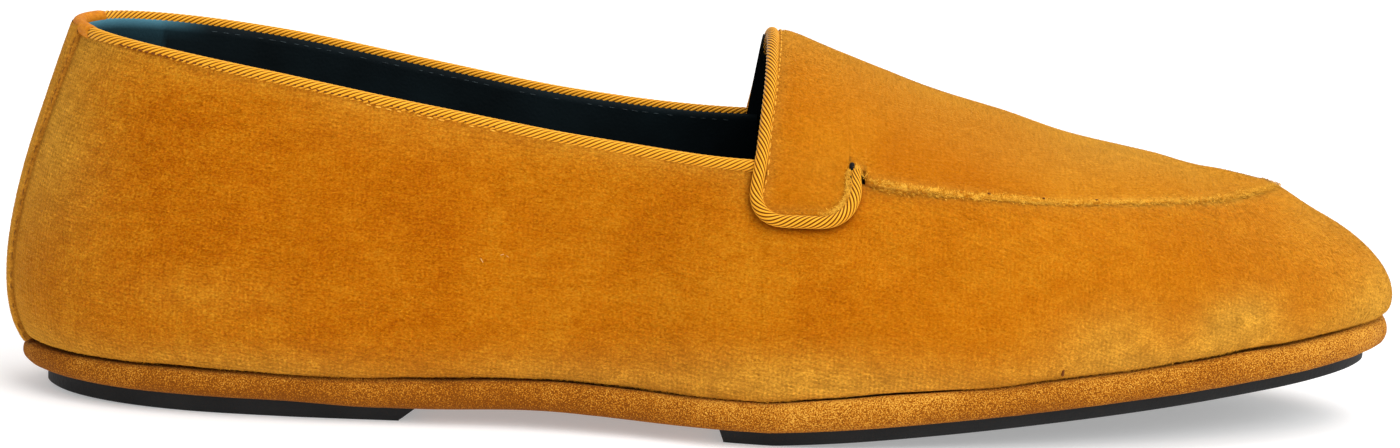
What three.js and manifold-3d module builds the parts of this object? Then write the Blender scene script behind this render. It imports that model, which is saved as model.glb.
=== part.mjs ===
// A velvet slip-on loafer for the right foot, standing empty on its sole.
// Millimetres. X runs from heel to toe, Y to the inner side of the foot, Z up from the floor.
import * as THREE from 'three';
import { mergeVertices } from 'three/addons/utils/BufferGeometryUtils.js';
import Module from 'manifold-3d';

const wasm = await Module();
wasm.setup();

// Driving sizes
const LENGTH = 281.5; // feather edge, where the upper meets the sole, from heel to toe
const BALL_WIDTH = 93; // feather edge across the ball of the foot
const INSTEP_HEIGHT = 76; // top of the throat above the floor
const TOE_SPRING = 13; // rise of the sole from the ball to the toe
const WALL = 2.2; // velvet, backing and leather lining together
const GAP = 0.3; // room between two pieces that meet

// Sole
const PAD_HEIGHT = 3; // black rubber pads under heel and forefoot
const PAD_INSET = 4.2;
const PAD_FLARE = 0.7; // how far a pad's top reaches past its tread
const BAND_HEIGHT = 6; // suede-wrapped midsole
const INSOLE_HEIGHT = 2.4;
const SPRING_START = 151.5; // the sole is flat on the floor behind this
const SPRING_POWER = 1.1;
const HEEL_LIFT = { rise: 1.1, length: 42 }; // the underside curls up a little at the back
const HEEL_WEDGE = { rise: 0.7, start: 72, end: 52 }; // the heel's pad is thicker than the forefoot's
const TOE_SETBACK = { depth: 0.8, length: 30 }; // the upper stands out over the midsole at the toe
// Ends of the pads under the arch: of the tread, of the top, and the height of the edge between them
const HEEL_PAD = { tread: 77.6, edge: 0.4, top: 81 };
const FOREFOOT_PAD = { tread: 142, edge: 0.8, top: 141 };
const ARCH = { middle: 107, halfLength: 25, outerLift: 0.6, innerLift: 1.8 };
const FEATHER_HEIGHT = PAD_HEIGHT + GAP + BAND_HEIGHT + GAP;

// Trim
const CORD_RADIUS = 1.3; // twisted cord on the collar and the apron
const APRON_THICKNESS = 1.2;
const BED_ROOM = 0.27; // under the apron, a little less than GAP so that the bed ends where the tabs start
const TAB_LIFT = APRON_THICKNESS + GAP; // the apron's tabs lie on the quarters
const TAB_LIFT_END = 174; // ahead of the tabs the apron sinks level with the vamp
const FLUSH_START = 198;
const BACKSTAY_THICKNESS = 0.8;
const BACKSTAY_HALF_WIDTH = { top: 8, bottom: 6.6 };
const BACKSTAY_REACH = 35; // how far ahead of the heel's back its outline is carried
const THROAT_CORD_HEIGHT = 0.2; // over the last, where the cord edges the tongue
const THROAT_CORD_START = 7; // over the tabs' top, where the cord has come to that height
const COLLAR_CORD_END = 146.2; // the collar's cord stops short of the apron's
const COLLAR_TILT = 0.025; // the inner side of the collar stands a little higher

// Plan of the feather edge: along is a share of the length, outer and inner shares of the ball width
const PLAN = [
  { at: 'heel back', along: 0.0, outer: 0.0, inner: 0.0 },
  { at: 'heel round', along: 0.018, outer: 0.146, inner: 0.146 },
  { at: 'heel corner', along: 0.058, outer: 0.247, inner: 0.247 },
  { at: 'heel side', along: 0.12, outer: 0.312, inner: 0.312 },
  { at: 'heel front', along: 0.2, outer: 0.344, inner: 0.338 },
  { at: 'waist back', along: 0.28, outer: 0.352, inner: 0.327 },
  { at: 'waist', along: 0.36, outer: 0.357, inner: 0.316 },
  { at: 'waist front', along: 0.435, outer: 0.402, inner: 0.322 },
  { at: 'instep', along: 0.51, outer: 0.474, inner: 0.358 },
  { at: 'outer ball', along: 0.59, outer: 0.502, inner: 0.422 },
  { at: 'ball', along: 0.67, outer: 0.482, inner: 0.478 },
  { at: 'inner ball', along: 0.75, outer: 0.434, inner: 0.495 },
  { at: 'toes', along: 0.825, outer: 0.368, inner: 0.462 },
  { at: 'toe side', along: 0.89, outer: 0.283, inner: 0.397 },
  { at: 'toe corner', along: 0.945, outer: 0.186, inner: 0.303 },
  { at: 'toe round', along: 0.984, outer: 0.068, inner: 0.193 },
  { at: 'toe tip', along: 1.0, outer: -0.062, inner: 0.062 },
];

// Ridge of the last over the middle of the foot. Behind the throat it is cut away.
const RIDGE = [
  { at: 'heel', along: 0.14, height: 1.39 },
  { at: 'quarter', along: 0.32, height: 1.3 },
  { at: 'behind throat', along: 0.46, height: 1.15 },
  { at: 'throat', along: 0.545, height: 1.013 },
  { at: 'tongue', along: 0.585, height: 0.953 },
  { at: 'vamp', along: 0.64, height: 0.881 },
  { at: 'behind ball', along: 0.7, height: 0.827 },
  { at: 'ball', along: 0.76, height: 0.76 },
  { at: 'toes', along: 0.82, height: 0.714 },
  { at: 'toe box', along: 0.865, height: 0.681 },
];

// Wall of the last, one row for each section. ridge is the shift of the ridge to the inner side in mm;
// rim is the share of the half width left at the top; swell, in mm, and rise, a share of the height, lead
// the wall out of the feather edge; shoulder and drop, shares of half width and height, lead it to the top.
const WALLS = [
  { at: 'heel', along: 0.0, ridge: 0, rim: 0.51, swell: 11, rise: 0.155, shoulder: 0.37, drop: 0.446 },
  { at: 'quarter', along: 0.2, ridge: 0, rim: 0.6, swell: 8, rise: 0.16, shoulder: 0.29, drop: 0.44 },
  { at: 'waist', along: 0.38, ridge: 1, rim: 0.52, swell: 6, rise: 0.17, shoulder: 0.34, drop: 0.4 },
  { at: 'throat', along: 0.55, ridge: 3, rim: 0, swell: 3, rise: 0.3, shoulder: 0.72, drop: 0 },
  { at: 'ball', along: 0.68, ridge: 5, rim: 0, swell: 4, rise: 0.35, shoulder: 0.72, drop: 0 },
  { at: 'toes', along: 0.85, ridge: 6, rim: 0, swell: 5, rise: 0.4, shoulder: 0.72, drop: 0 },
  { at: 'toe tip', along: 1.0, ridge: 6.5, rim: 0, swell: 6.5, rise: 0.37, shoulder: 0.54, drop: 0 },
];
const HEEL_FAN = { share: 0.3, push: 40 }; // sections fan out round the heel and the toe
const TOE_FAN = { share: 0.3, push: 40 };

// Collar seen from the side: the top of the wall, under the cord
const COLLAR = [
  { at: 'behind heel', along: -0.2, height: 80 },
  { at: 'heel', along: 0.04, height: 73.4 },
  { at: 'heel side', along: 0.17, height: 68.5 },
  { at: 'quarter', along: 0.29, height: 62.6 },
  { at: 'waist', along: 0.4, height: 57.6 },
  { at: 'throat', along: 0.54, height: 54.6 },
];
const THROAT = { topX: 153.7, topZ: 82, bottomX: 149.5, bottomZ: 50 }; // the tongue's edge from the side

// Tabs of the apron seen from the side; over topZ the apron's cord edges the tongue
const TAB = { rearX: 149.3, frontX: 166, bottomZ: 47.2, topZ: 56, rearRadius: 3.2, frontRadius: 4.6 };
const NOTCH = { frontX: 169.7, topZ: 55.8 }; // the cord's end is tucked in between tab and seam
const SEAM_REACH = 6; // the cut along the seam stands this far in and out of the last

// Seam of the apron ahead of the tabs, as a share of the wall from the feather edge to the ridge
const SEAM = [
  { at: 'tab', along: 0.6, share: 0.56 },
  { at: 'behind ball', along: 0.66, share: 0.574 },
  { at: 'ball', along: 0.72, share: 0.592 },
  { at: 'toes', along: 0.79, share: 0.642 },
  { at: 'toe side', along: 0.88, share: 0.697 },
  { at: 'toe corner', along: 0.94, share: 0.747 },
  { at: 'toe tip', along: 1.0, share: 0.762 },
];

// Side of the midsole: out from the feather edge in mm, up as a share of its height
const BAND_PROFILE = [
  { at: 'base', out: -1.1, up: 0 },
  { at: 'low', out: 0.4, up: 0.14 },
  { at: 'fullest', out: 1.1, up: 0.45 },
  { at: 'high', out: 0.9, up: 0.75 },
  { at: 'feather edge', out: 0.2, up: 1 },
];

// Mesh density
const STEPS_PER_ROW = 3; // columns between two rows of the plan
const WALL_STEPS = 11;
const CORD_SIDES = 8;
const COLLAR_CORD_STEPS = 64;
const APRON_CORD_STEPS = 92;

// Limits of the cutting forms, clear of the shoe
const ABOVE = 140;
const CLEAR = 30;

const clamp01 = (t) => Math.min(1, Math.max(0, t));
const smooth = (t) => clamp01(t) ** 2 * (3 - 2 * clamp01(t));

// Cubic through four neighbours, u from 0 at b to 1 at c
function catmullRom(a, b, c, d, u) {
  const bend = u * (3 * (b - c) + d - a) + 2 * a - 5 * b + 4 * c - d;
  return b + 0.5 * u * (c - a + u * bend);
}

// Smooth curve through a table's rows: the value of key at a share of the length. It is level at a
// row that is the highest or lowest of its neighbours.
function tableCurve(rows, key) {
  const slope = rows.map((row, i) => {
    const before = rows[Math.max(0, i - 1)];
    const after = rows[Math.min(rows.length - 1, i + 1)];
    const turns = (after[key] - row[key]) * (row[key] - before[key]) <= 0;
    return turns ? 0 : (after[key] - before[key]) / (after.along - before.along);
  });
  return (along) => {
    let i = 0;
    while (i < rows.length - 2 && along > rows[i + 1].along) i++;
    const span = rows[i + 1].along - rows[i].along;
    const u = clamp01((along - rows[i].along) / span);
    const rest = 1 - u;
    return rows[i][key] * (1 + 2 * u) * rest * rest + rows[i + 1][key] * (3 - 2 * u) * u * u
      + span * u * rest * (slope[i] * rest - slope[i + 1] * u);
  };
}

const ridgeHeight = tableCurve(RIDGE, 'height');
const collarHeight = tableCurve(COLLAR, 'height');
const seamShare = tableCurve(SEAM, 'share');
const wallCurves = Object.fromEntries(
  ['ridge', 'rim', 'swell', 'rise', 'shoulder', 'drop'].map((key) => [key, tableCurve(WALLS, key)]),
);

// Rise of the sole over its flat level: arch and toe spring
function soleRise(x, y) {
  const fromArch = clamp01(1 - Math.abs(x - ARCH.middle) / ARCH.halfLength);
  const lift = y > 0 ? ARCH.innerLift : ARCH.outerLift;
  const spring = clamp01((x - SPRING_START) / (LENGTH - SPRING_START));
  return lift * smooth(fromArch) + TOE_SPRING * spring ** SPRING_POWER;
}

// Heights of the tread and of the pads' top over that level
const treadHeight = (x) => HEEL_LIFT.rise * clamp01(1 - x / HEEL_LIFT.length) ** 2;
function padTop(x) {
  const wedge = smooth((x - HEEL_WEDGE.start) / (HEEL_WEDGE.end - HEEL_WEDGE.start));
  return PAD_HEIGHT + treadHeight(x) + HEEL_WEDGE.rise * wedge;
}

const toeSetback = (x) => TOE_SETBACK.depth * smooth(1 - (LENGTH - x) / TOE_SETBACK.length);

// Plan of the feather edge as a closed ring: heel, outer side, toe, inner side
const RING = [
  ...PLAN.map((row) => ({ x: row.along * LENGTH, y: -row.outer * BALL_WIDTH })),
  ...PLAN.slice(1, -1).reverse().map((row) => ({ x: row.along * LENGTH, y: row.inner * BALL_WIDTH })),
];
const COLUMNS = RING.length * STEPS_PER_ROW;

function ringPoint(column) {
  const place = ((column / STEPS_PER_ROW) % RING.length + RING.length) % RING.length;
  const i = Math.floor(place);
  const row = (k) => RING[(i + k + RING.length) % RING.length];
  const at = (key) => catmullRom(row(-1)[key], row(0)[key], row(1)[key], row(2)[key], place - i);
  return new THREE.Vector2(at('x'), at('y'));
}

// Outward direction of the ring in plan
function ringNormal(column) {
  const step = 0.05;
  const along = ringPoint(column + step).sub(ringPoint(column - step)).normalize();
  return new THREE.Vector2(along.y, -along.x);
}

// Where the section that starts at x on the feather edge meets the ridge
function spineX(x) {
  const along = x / LENGTH;
  const heel = clamp01(1 - along / HEEL_FAN.share);
  const toe = clamp01((along - 1 + TOE_FAN.share) / TOE_FAN.share);
  return x + HEEL_FAN.push * heel ** 2 - TOE_FAN.push * toe ** 2;
}

// One section of the last: a curve from the feather edge up to the ridge
function section(column) {
  const edge = ringPoint(column);
  const along = clamp01(edge.x / LENGTH);
  const wall = Object.fromEntries(Object.entries(wallCurves).map(([key, curve]) => [key, curve(along)]));
  const foot = new THREE.Vector3(edge.x, edge.y, FEATHER_HEIGHT + soleRise(edge.x, edge.y));
  const ridgeX = spineX(edge.x);
  const ridgeZ = (x) => ridgeHeight(x / LENGTH) * INSTEP_HEIGHT;
  const slope = ridgeZ(ridgeX + 0.5) - ridgeZ(ridgeX - 0.5);
  const spine = new THREE.Vector3(ridgeX, wall.ridge, ridgeZ(ridgeX));
  const reach = new THREE.Vector3(foot.x - spine.x, foot.y - spine.y, 0);
  const out = reach.clone().normalize();
  const height = spine.z - foot.z;
  const rim = spine.clone().addScaledVector(reach, wall.rim);
  const low = foot.clone().addScaledVector(out, wall.swell);
  low.z += wall.rise * height;
  const high = rim.clone().addScaledVector(reach, wall.shoulder);
  high.z += slope * reach.x * wall.shoulder - wall.drop * height;
  return new THREE.CubicBezierCurve3(foot, low, high, rim);
}

const SECTIONS = Array.from({ length: COLUMNS }, (_, i) => section(i));

// Point of the last and its outward normal, share running up the wall from 0 to 1
function lastPoint(column, share) {
  return SECTIONS[(column + COLUMNS) % COLUMNS].getPoint(share);
}

function lastNormal(column, share) {
  const step = 0.01;
  const around = lastPoint(column + 1, share).sub(lastPoint(column - 1, share));
  const up = lastPoint(column, Math.min(1, share + step)).sub(lastPoint(column, Math.max(0, share - step)));
  if (around.lengthSq() < 1e-6) return new THREE.Vector3(0, 0, 1);
  return around.cross(up).normalize();
}

// Closed mesh through stacked rings of the same count, its lids made of strips from side to side
function stackedSolid(rings) {
  const count = rings[0].length;
  const positions = rings.flat().flatMap((p) => [p.x, p.y, p.z]);
  const faces = [];
  const quad = (a, b, c, d) => faces.push(a, b, c, a, c, d);
  rings.slice(1).forEach((_, level) => {
    for (let i = 0; i < count; i++) {
      const next = (i + 1) % count;
      const low = level * count;
      quad(low + i, low + next, low + count + next, low + count + i);
    }
  });
  const top = (rings.length - 1) * count;
  for (let i = 0; i < count / 2; i++) {
    const far = (count - i) % count;
    quad(i, far, count - i - 1, i + 1);
    quad(top + i, top + i + 1, top + count - i - 1, top + far);
  }
  return solidFromFaces(positions, faces);
}

// manifold-3d solid from a triangle list, with points that coincide merged and empty triangles left out
function solidFromFaces(positions, faces) {
  const geometry = new THREE.BufferGeometry();
  geometry.setAttribute('position', new THREE.Float32BufferAttribute(positions, 3));
  geometry.setIndex(faces);
  const merged = mergeVertices(geometry, 1e-3);
  const index = Array.from(merged.index.array);
  const kept = [];
  for (let i = 0; i < index.length; i += 3) {
    const [a, b, c] = index.slice(i, i + 3);
    if (a !== b && b !== c && c !== a) kept.push(a, b, c);
  }
  return new wasm.Manifold(new wasm.Mesh({
    numProp: 3,
    vertProperties: merged.attributes.position.array,
    triVerts: new Uint32Array(kept),
  }));
}

// The last grown by offset, a number or a function of x; depth carries it on below the feather edge
function lastForm(offset, depth = 0) {
  const grow = typeof offset === 'function' ? offset : () => offset;
  const rings = [];
  for (let level = 0; level <= WALL_STEPS; level++) {
    const share = level / WALL_STEPS;
    rings.push(SECTIONS.map((_, i) => {
      const point = lastPoint(i, share);
      return point.addScaledVector(lastNormal(i, share), grow(point.x));
    }));
  }
  if (depth > 0) rings.unshift(rings[0].map((p) => new THREE.Vector3(p.x, p.y, p.z - depth)));
  return stackedSolid(rings);
}

// Solid of the sole: one ring for each level, which gives the offset from the feather edge and the height at x
function soleSolid(levels) {
  return stackedSolid(levels.map((level) => SECTIONS.map((_, i) => {
    const edge = ringPoint(i);
    const { out, height } = level(edge.x);
    const point = edge.clone().addScaledVector(ringNormal(i), out);
    return new THREE.Vector3(point.x, point.y, height + soleRise(edge.x, edge.y));
  })));
}

// manifold-3d solid of one closed three.js geometry
function solidFromGeometry(geometry) {
  geometry.deleteAttribute('normal');
  geometry.deleteAttribute('uv');
  const merged = mergeVertices(geometry, 1e-3);
  return solidFromFaces(merged.attributes.position.array, Array.from(merged.index.array));
}

// Solid of a side-view outline carried across the shoe, leaning with the collar where tilt is given
function sidePrism(outline, tilt = 0) {
  const depth = 2 * BALL_WIDTH;
  const geometry = new THREE.ExtrudeGeometry(new THREE.Shape(outline), { depth, bevelEnabled: false });
  geometry.rotateX(Math.PI / 2);
  geometry.translate(0, depth / 2, 0);
  const shear = new THREE.Matrix4();
  shear.elements[6] = tilt;
  return solidFromGeometry(geometry.applyMatrix4(shear));
}

// Solid of a back-view outline carried along the shoe from behind the heel
function backPrism(outline, depth) {
  const geometry = new THREE.ExtrudeGeometry(new THREE.Shape(outline), { depth, bevelEnabled: false });
  const across = new THREE.Vector3(0, 1, 0);
  const up = new THREE.Vector3(0, 0, 1);
  const ahead = new THREE.Vector3(1, 0, 0);
  geometry.applyMatrix4(new THREE.Matrix4().makeBasis(across, up, ahead));
  return solidFromGeometry(geometry.translate(-depth / 2, 0, 0));
}

// Root of a rising function between low and high
function bisect(low, high, rising) {
  for (let i = 0; i < 40; i++) {
    const middle = (low + high) / 2;
    if (rising(middle) > 0) high = middle;
    else low = middle;
  }
  return (low + high) / 2;
}

// Column of the last at x on the outer or the inner side of the foot
function columnAt(side, x) {
  const toe = (PLAN.length - 1) * STEPS_PER_ROW;
  const turned = (column) => (side === 'outer' ? column : COLUMNS - column);
  return turned(bisect(0, toe, (column) => ringPoint(turned(column)).x - x));
}

// Point at a height over the last, for places between two columns
function overLast(column, share, height) {
  const step = 0.02;
  const at = (c, s) => section(c).getPoint(clamp01(s));
  const around = at(column + step, share).sub(at(column - step, share));
  const up = at(column, share + step).sub(at(column, share - step));
  return at(column, share).addScaledVector(around.cross(up).normalize(), height);
}

// Point at a height over the last that shows at x and z from the side
function overLastAt(side, x, z, height) {
  const column = columnAt(side, x);
  const share = bisect(0, 1, (s) => overLast(column, s, height).z - z);
  return overLast(column, share, height);
}

// Cord along a smooth path
function cord(points, steps) {
  const outline = Array.from({ length: CORD_SIDES }, (_, i) => {
    const turn = (2 * Math.PI * (i + 0.5)) / CORD_SIDES;
    return new THREE.Vector2(CORD_RADIUS * Math.cos(turn), CORD_RADIUS * Math.sin(turn));
  });
  const extrudePath = new THREE.CatmullRomCurve3(points, false, 'centripetal');
  return new THREE.ExtrudeGeometry(new THREE.Shape(outline), { steps, extrudePath, bevelEnabled: false });
}

const collarZ = (x) => collarHeight(x / LENGTH);
const throatX = (z) => THREE.MathUtils.mapLinear(z, THROAT.bottomZ, THROAT.topZ, THROAT.bottomX, THROAT.topX);
const apronLift = (x) => TAB_LIFT * (1 - smooth((x - TAB_LIFT_END) / (FLUSH_START - TAB_LIFT_END)));

// Everything over the collar and behind the throat, from the side
function openingOutline() {
  const back = -CLEAR;
  const front = throatX(collarZ(THROAT.bottomX));
  const steps = 30;
  const line = Array.from({ length: steps + 1 }, (_, i) => {
    const x = THREE.MathUtils.lerp(back, front, i / steps);
    return new THREE.Vector2(x, collarZ(x));
  });
  return [...line, new THREE.Vector2(throatX(ABOVE), ABOVE), new THREE.Vector2(back, ABOVE)];
}

// Rounded corner of an outline
function corner(x, z, radius, fromDegrees, toDegrees) {
  const steps = 6;
  return Array.from({ length: steps + 1 }, (_, i) => {
    const turn = THREE.MathUtils.degToRad(THREE.MathUtils.lerp(fromDegrees, toDegrees, i / steps));
    return new THREE.Vector2(x + radius * Math.cos(turn), z + radius * Math.sin(turn));
  });
}

// Rounded lower edge of a tab, kept at a distance outside it
function tabEdge(room) {
  const { rearRadius, frontRadius } = TAB;
  const rear = TAB.rearX - room;
  const front = TAB.frontX + room;
  const bottom = TAB.bottomZ - room;
  return [
    ...corner(rear + rearRadius + room, bottom + rearRadius + room, rearRadius + room, 180, 270),
    ...corner(front - frontRadius - room, bottom + frontRadius + room, frontRadius + room, 270, 360),
  ];
}

// Everything over the seam, grown by room: its side stands through the last along the seam
function seamCap(room) {
  const step = 0.01;
  const rows = SECTIONS.map((_, i) => {
    const share = seamShare(ringPoint(i).x / LENGTH);
    const speed = lastPoint(i, share + step).distanceTo(lastPoint(i, share - step)) / (2 * step);
    const grown = share - room / speed;
    return { point: lastPoint(i, grown), normal: lastNormal(i, grown) };
  });
  const under = rows.map(({ point, normal }) => point.clone().addScaledVector(normal, -SEAM_REACH));
  const over = rows.map(({ point, normal }) => point.clone().addScaledVector(normal, SEAM_REACH));
  const top = over.map((point) => new THREE.Vector3(point.x, point.y, ABOVE));
  return stackedSolid([under, over, top]);
}

// Space the apron takes, grown by room: throat, tabs, notch for the cord's end, seam to the toe
function apronSpace(room) {
  const ahead = NOTCH.frontX - room;
  const past = LENGTH + CLEAR;
  const tabs = [
    new THREE.Vector2(throatX(ABOVE) - room, ABOVE),
    new THREE.Vector2(throatX(TAB.topZ) - room, TAB.topZ),
    ...tabEdge(room),
    new THREE.Vector2(TAB.frontX + room, NOTCH.topZ - room),
    new THREE.Vector2(past, NOTCH.topZ - room),
    new THREE.Vector2(past, ABOVE),
  ];
  const vamp = [[ahead, 0], [past, 0], [past, ABOVE], [ahead, ABOVE]].map(([x, z]) => new THREE.Vector2(x, z));
  return sidePrism(tabs).add(seamCap(room).intersect(sidePrism(vamp)));
}

const opening = sidePrism(openingOutline(), COLLAR_TILT);

// Hollow upper: open at the collar and underneath, with a bed for the apron
function makeUpper() {
  const inside = lastForm(-WALL, BAND_HEIGHT);
  const bed = lastForm((x) => apronLift(x) - APRON_THICKNESS - BED_ROOM);
  const recess = apronSpace(GAP).subtract(bed);
  return lastForm(0).subtract(inside).subtract(opening).subtract(recess);
}

function makeApron() {
  const skin = lastForm(apronLift).subtract(lastForm((x) => apronLift(x) - APRON_THICKNESS));
  return skin.intersect(apronSpace(0));
}

// Strip over the seam at the back of the heel
function makeBackstay() {
  const { top, bottom } = BACKSTAY_HALF_WIDTH;
  const foot = FEATHER_HEIGHT + GAP;
  const outline = [[-bottom, foot], [bottom, foot], [top, ABOVE], [-top, ABOVE]];
  const strip = backPrism(outline.map(([y, z]) => new THREE.Vector2(y, z)), 2 * BACKSTAY_REACH);
  const skin = lastForm(GAP + BACKSTAY_THICKNESS).subtract(lastForm(GAP));
  return skin.intersect(strip).subtract(opening);
}

// Cord on the collar, from one tab round the heel to the other
function makeCollarCord() {
  const end = columnAt('outer', COLLAR_CORD_END);
  const count = 60;
  const points = Array.from({ length: count + 1 }, (_, i) => {
    const column = THREE.MathUtils.lerp(end, -end, i / count);
    const curve = section(column);
    const share = bisect(0.2, 1, (s) => {
      const point = curve.getPoint(s);
      return point.z - collarZ(point.x) - COLLAR_TILT * point.y;
    });
    const point = overLast(column, share, -WALL / 2);
    point.z = collarZ(point.x) + COLLAR_TILT * point.y + GAP + CORD_RADIUS;
    return point;
  });
  return cord(points, COLLAR_CORD_STEPS);
}

// Cord on the apron: up the outer tab, over the throat and down the inner tab
function makeApronCord() {
  const room = CORD_RADIUS + GAP;
  const half = (side) => {
    const rise = section(columnAt(side, THROAT.bottomX));
    const low = bisect(0, 1, (share) => rise.getPoint(share).z - TAB.topZ);
    const steps = 8;
    const throat = Array.from({ length: steps + 1 }, (_, i) => {
      const share = THREE.MathUtils.lerp(1, low, i / steps);
      const z = rise.getPoint(share).z;
      return { x: throatX(z) - room, z, share };
    });
    const over = throat.map(({ x, z, share }) => {
      const height = THREE.MathUtils.lerp(room, THROAT_CORD_HEIGHT, smooth((z - TAB.topZ) / THROAT_CORD_START));
      return overLast(columnAt(side, x), share, height);
    });
    const end = new THREE.Vector2(TAB.frontX + room, NOTCH.topZ - 2 * GAP);
    const tab = [...tabEdge(room), end].map((p) => overLastAt(side, p.x, p.y, room));
    return [...over, ...tab];
  };
  return cord([...half('outer').reverse(), ...half('inner').slice(1)], APRON_CORD_STEPS);
}

// Suede-wrapped midsole with a rounded side
function makeMidsole() {
  const top = FEATHER_HEIGHT - GAP;
  return soleSolid(BAND_PROFILE.map(({ out, up }) => (x) => ({
    out: out - toeSetback(x),
    height: THREE.MathUtils.lerp(padTop(x) + GAP, top, up),
  })));
}

function makeInsole() {
  const out = -WALL - GAP;
  return soleSolid([0, INSOLE_HEIGHT].map((up) => () => ({ out, height: FEATHER_HEIGHT + up })));
}

// Rubber pad between two places along the sole, bevelled where it ends under the arch
function makePad(ends) {
  const tread = (x) => ({ out: -PAD_INSET, height: treadHeight(x) });
  const top = (x) => ({ out: PAD_FLARE - PAD_INSET, height: padTop(x) });
  return soleSolid([tread, top]).intersect(sidePrism(ends.map(([x, z]) => new THREE.Vector2(x, z))));
}

const heelPadEnds = [
  [-CLEAR, -CLEAR], [HEEL_PAD.tread, -CLEAR], [HEEL_PAD.tread, HEEL_PAD.edge],
  [HEEL_PAD.top, PAD_HEIGHT], [HEEL_PAD.top, CLEAR], [-CLEAR, CLEAR],
];
const forefootPadEnds = [
  [LENGTH + CLEAR, -CLEAR], [LENGTH + CLEAR, CLEAR], [FOREFOOT_PAD.top, CLEAR],
  [FOREFOOT_PAD.top, FOREFOOT_PAD.edge], [FOREFOOT_PAD.tread, 0], [FOREFOOT_PAD.tread, -CLEAR],
];

function geometryOf(solid) {
  const mesh = solid.getMesh();
  const geometry = new THREE.BufferGeometry();
  geometry.setAttribute('position', new THREE.Float32BufferAttribute(mesh.vertProperties, 3));
  geometry.setIndex(Array.from(mesh.triVerts));
  return geometry;
}

const velvet = new THREE.MeshStandardMaterial({ color: 0xc8801c, roughness: 0.9, metalness: 0 });
const satin = new THREE.MeshStandardMaterial({ color: 0xd88a1e, roughness: 0.5, metalness: 0 });
const suede = new THREE.MeshStandardMaterial({ color: 0xb5651d, roughness: 0.95, metalness: 0 });
const rubber = new THREE.MeshStandardMaterial({ color: 0x16161a, roughness: 0.8, metalness: 0 });
const leather = new THREE.MeshStandardMaterial({ color: 0x1b1f28, roughness: 0.6, metalness: 0 });

const shoe = new THREE.Group();
shoe.name = 'velvet_loafer';
const pieces = [
  ['upper', geometryOf(makeUpper()), velvet],
  ['apron', geometryOf(makeApron()), velvet],
  ['backstay', geometryOf(makeBackstay()), velvet],
  ['collar_cord', makeCollarCord(), satin],
  ['apron_cord', makeApronCord(), satin],
  ['midsole', geometryOf(makeMidsole()), suede],
  ['insole', geometryOf(makeInsole()), leather],
  ['heel_pad', geometryOf(makePad(heelPadEnds)), rubber],
  ['forefoot_pad', geometryOf(makePad(forefootPadEnds)), rubber],
];
for (const [name, geometry, material] of pieces) {
  const mesh = new THREE.Mesh(geometry, material);
  mesh.name = name;
  shoe.add(mesh);
}

// The origin is on the floor, under the middle of the shoe
const box = new THREE.Box3().setFromObject(shoe);
const middle = box.getCenter(new THREE.Vector3());
shoe.children.forEach((mesh) => mesh.geometry.translate(-middle.x, -middle.y, -box.min.z));

export default shoe;
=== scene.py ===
"""Looks of a velvet loafer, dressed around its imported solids.

Shapes are worked out in millimetres on the same last as the solids: X from heel to toe, Y to the inner
side of the foot, Z up from the floor. place() turns them into the frame's metres.
"""
import math

import bpy
import numpy as np
from mathutils import Matrix, Vector


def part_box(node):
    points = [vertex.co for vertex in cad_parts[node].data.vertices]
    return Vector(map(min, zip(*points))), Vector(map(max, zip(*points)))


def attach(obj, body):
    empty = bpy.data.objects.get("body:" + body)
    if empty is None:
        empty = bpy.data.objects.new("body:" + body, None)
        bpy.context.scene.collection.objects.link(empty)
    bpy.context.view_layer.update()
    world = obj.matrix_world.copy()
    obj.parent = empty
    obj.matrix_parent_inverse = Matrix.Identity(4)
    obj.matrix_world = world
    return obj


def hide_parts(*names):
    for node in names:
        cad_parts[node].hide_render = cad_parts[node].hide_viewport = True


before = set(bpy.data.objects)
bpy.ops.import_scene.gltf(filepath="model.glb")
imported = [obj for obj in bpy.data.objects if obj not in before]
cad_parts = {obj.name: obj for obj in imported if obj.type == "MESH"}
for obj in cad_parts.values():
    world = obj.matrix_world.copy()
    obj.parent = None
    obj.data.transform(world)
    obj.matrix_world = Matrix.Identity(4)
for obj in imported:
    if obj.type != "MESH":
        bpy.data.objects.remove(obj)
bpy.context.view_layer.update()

# Sizes of the last and the sole, as in the part's source
MM = 0.001
LENGTH = 281.5
BALL_WIDTH = 93
INSTEP_HEIGHT = 76
TOE_SPRING = 13
WALL = 2.2
GAP = 0.3
PAD_HEIGHT = 3
PAD_INSET = 4.2
PAD_FLARE = 0.7
BAND_HEIGHT = 6
INSOLE_HEIGHT = 2.4
SPRING_START, SPRING_POWER = 151.5, 1.1
HEEL_LIFT, HEEL_LIFT_LENGTH = 1.1, 42
WEDGE_RISE, WEDGE_START, WEDGE_END = 0.7, 72, 52
SETBACK_DEPTH, SETBACK_LENGTH = 0.8, 30
ARCH_MIDDLE, ARCH_HALF_LENGTH = 107, 25
ARCH_OUTER_LIFT, ARCH_INNER_LIFT = 0.6, 1.8
FEATHER = PAD_HEIGHT + GAP + BAND_HEIGHT + GAP
HEEL_PAD_TREAD, HEEL_PAD_TOP = 77.6, 81
FOREFOOT_PAD_TREAD, FOREFOOT_PAD_TOP = 142, 141

# Sizes of the trim, as in the part's source
CORD_RADIUS = 1.3
COLLAR_CORD_END = 146.2
COLLAR_TILT = 0.025
APRON_LIFT = 1.5
APRON_LIFT_END, APRON_FLUSH_START = 174, 198
BACKSTAY_HEIGHT = 1.1
BACKSTAY_BOTTOM, BACKSTAY_WIDENING = 6.6, 0.011
THROAT_X, THROAT_Z, THROAT_LEAN = 149.5, 50, 0.13125
THROAT_CORD_HEIGHT, THROAT_CORD_START = 0.2, 7
TAB_REAR, TAB_FRONT, TAB_BOTTOM, TAB_TOP = 149.3, 166, 47.2, 56
TAB_REAR_RADIUS, TAB_FRONT_RADIUS = 3.2, 4.6
NOTCH_FRONT, NOTCH_TOP = 169.7, 55.8


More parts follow.
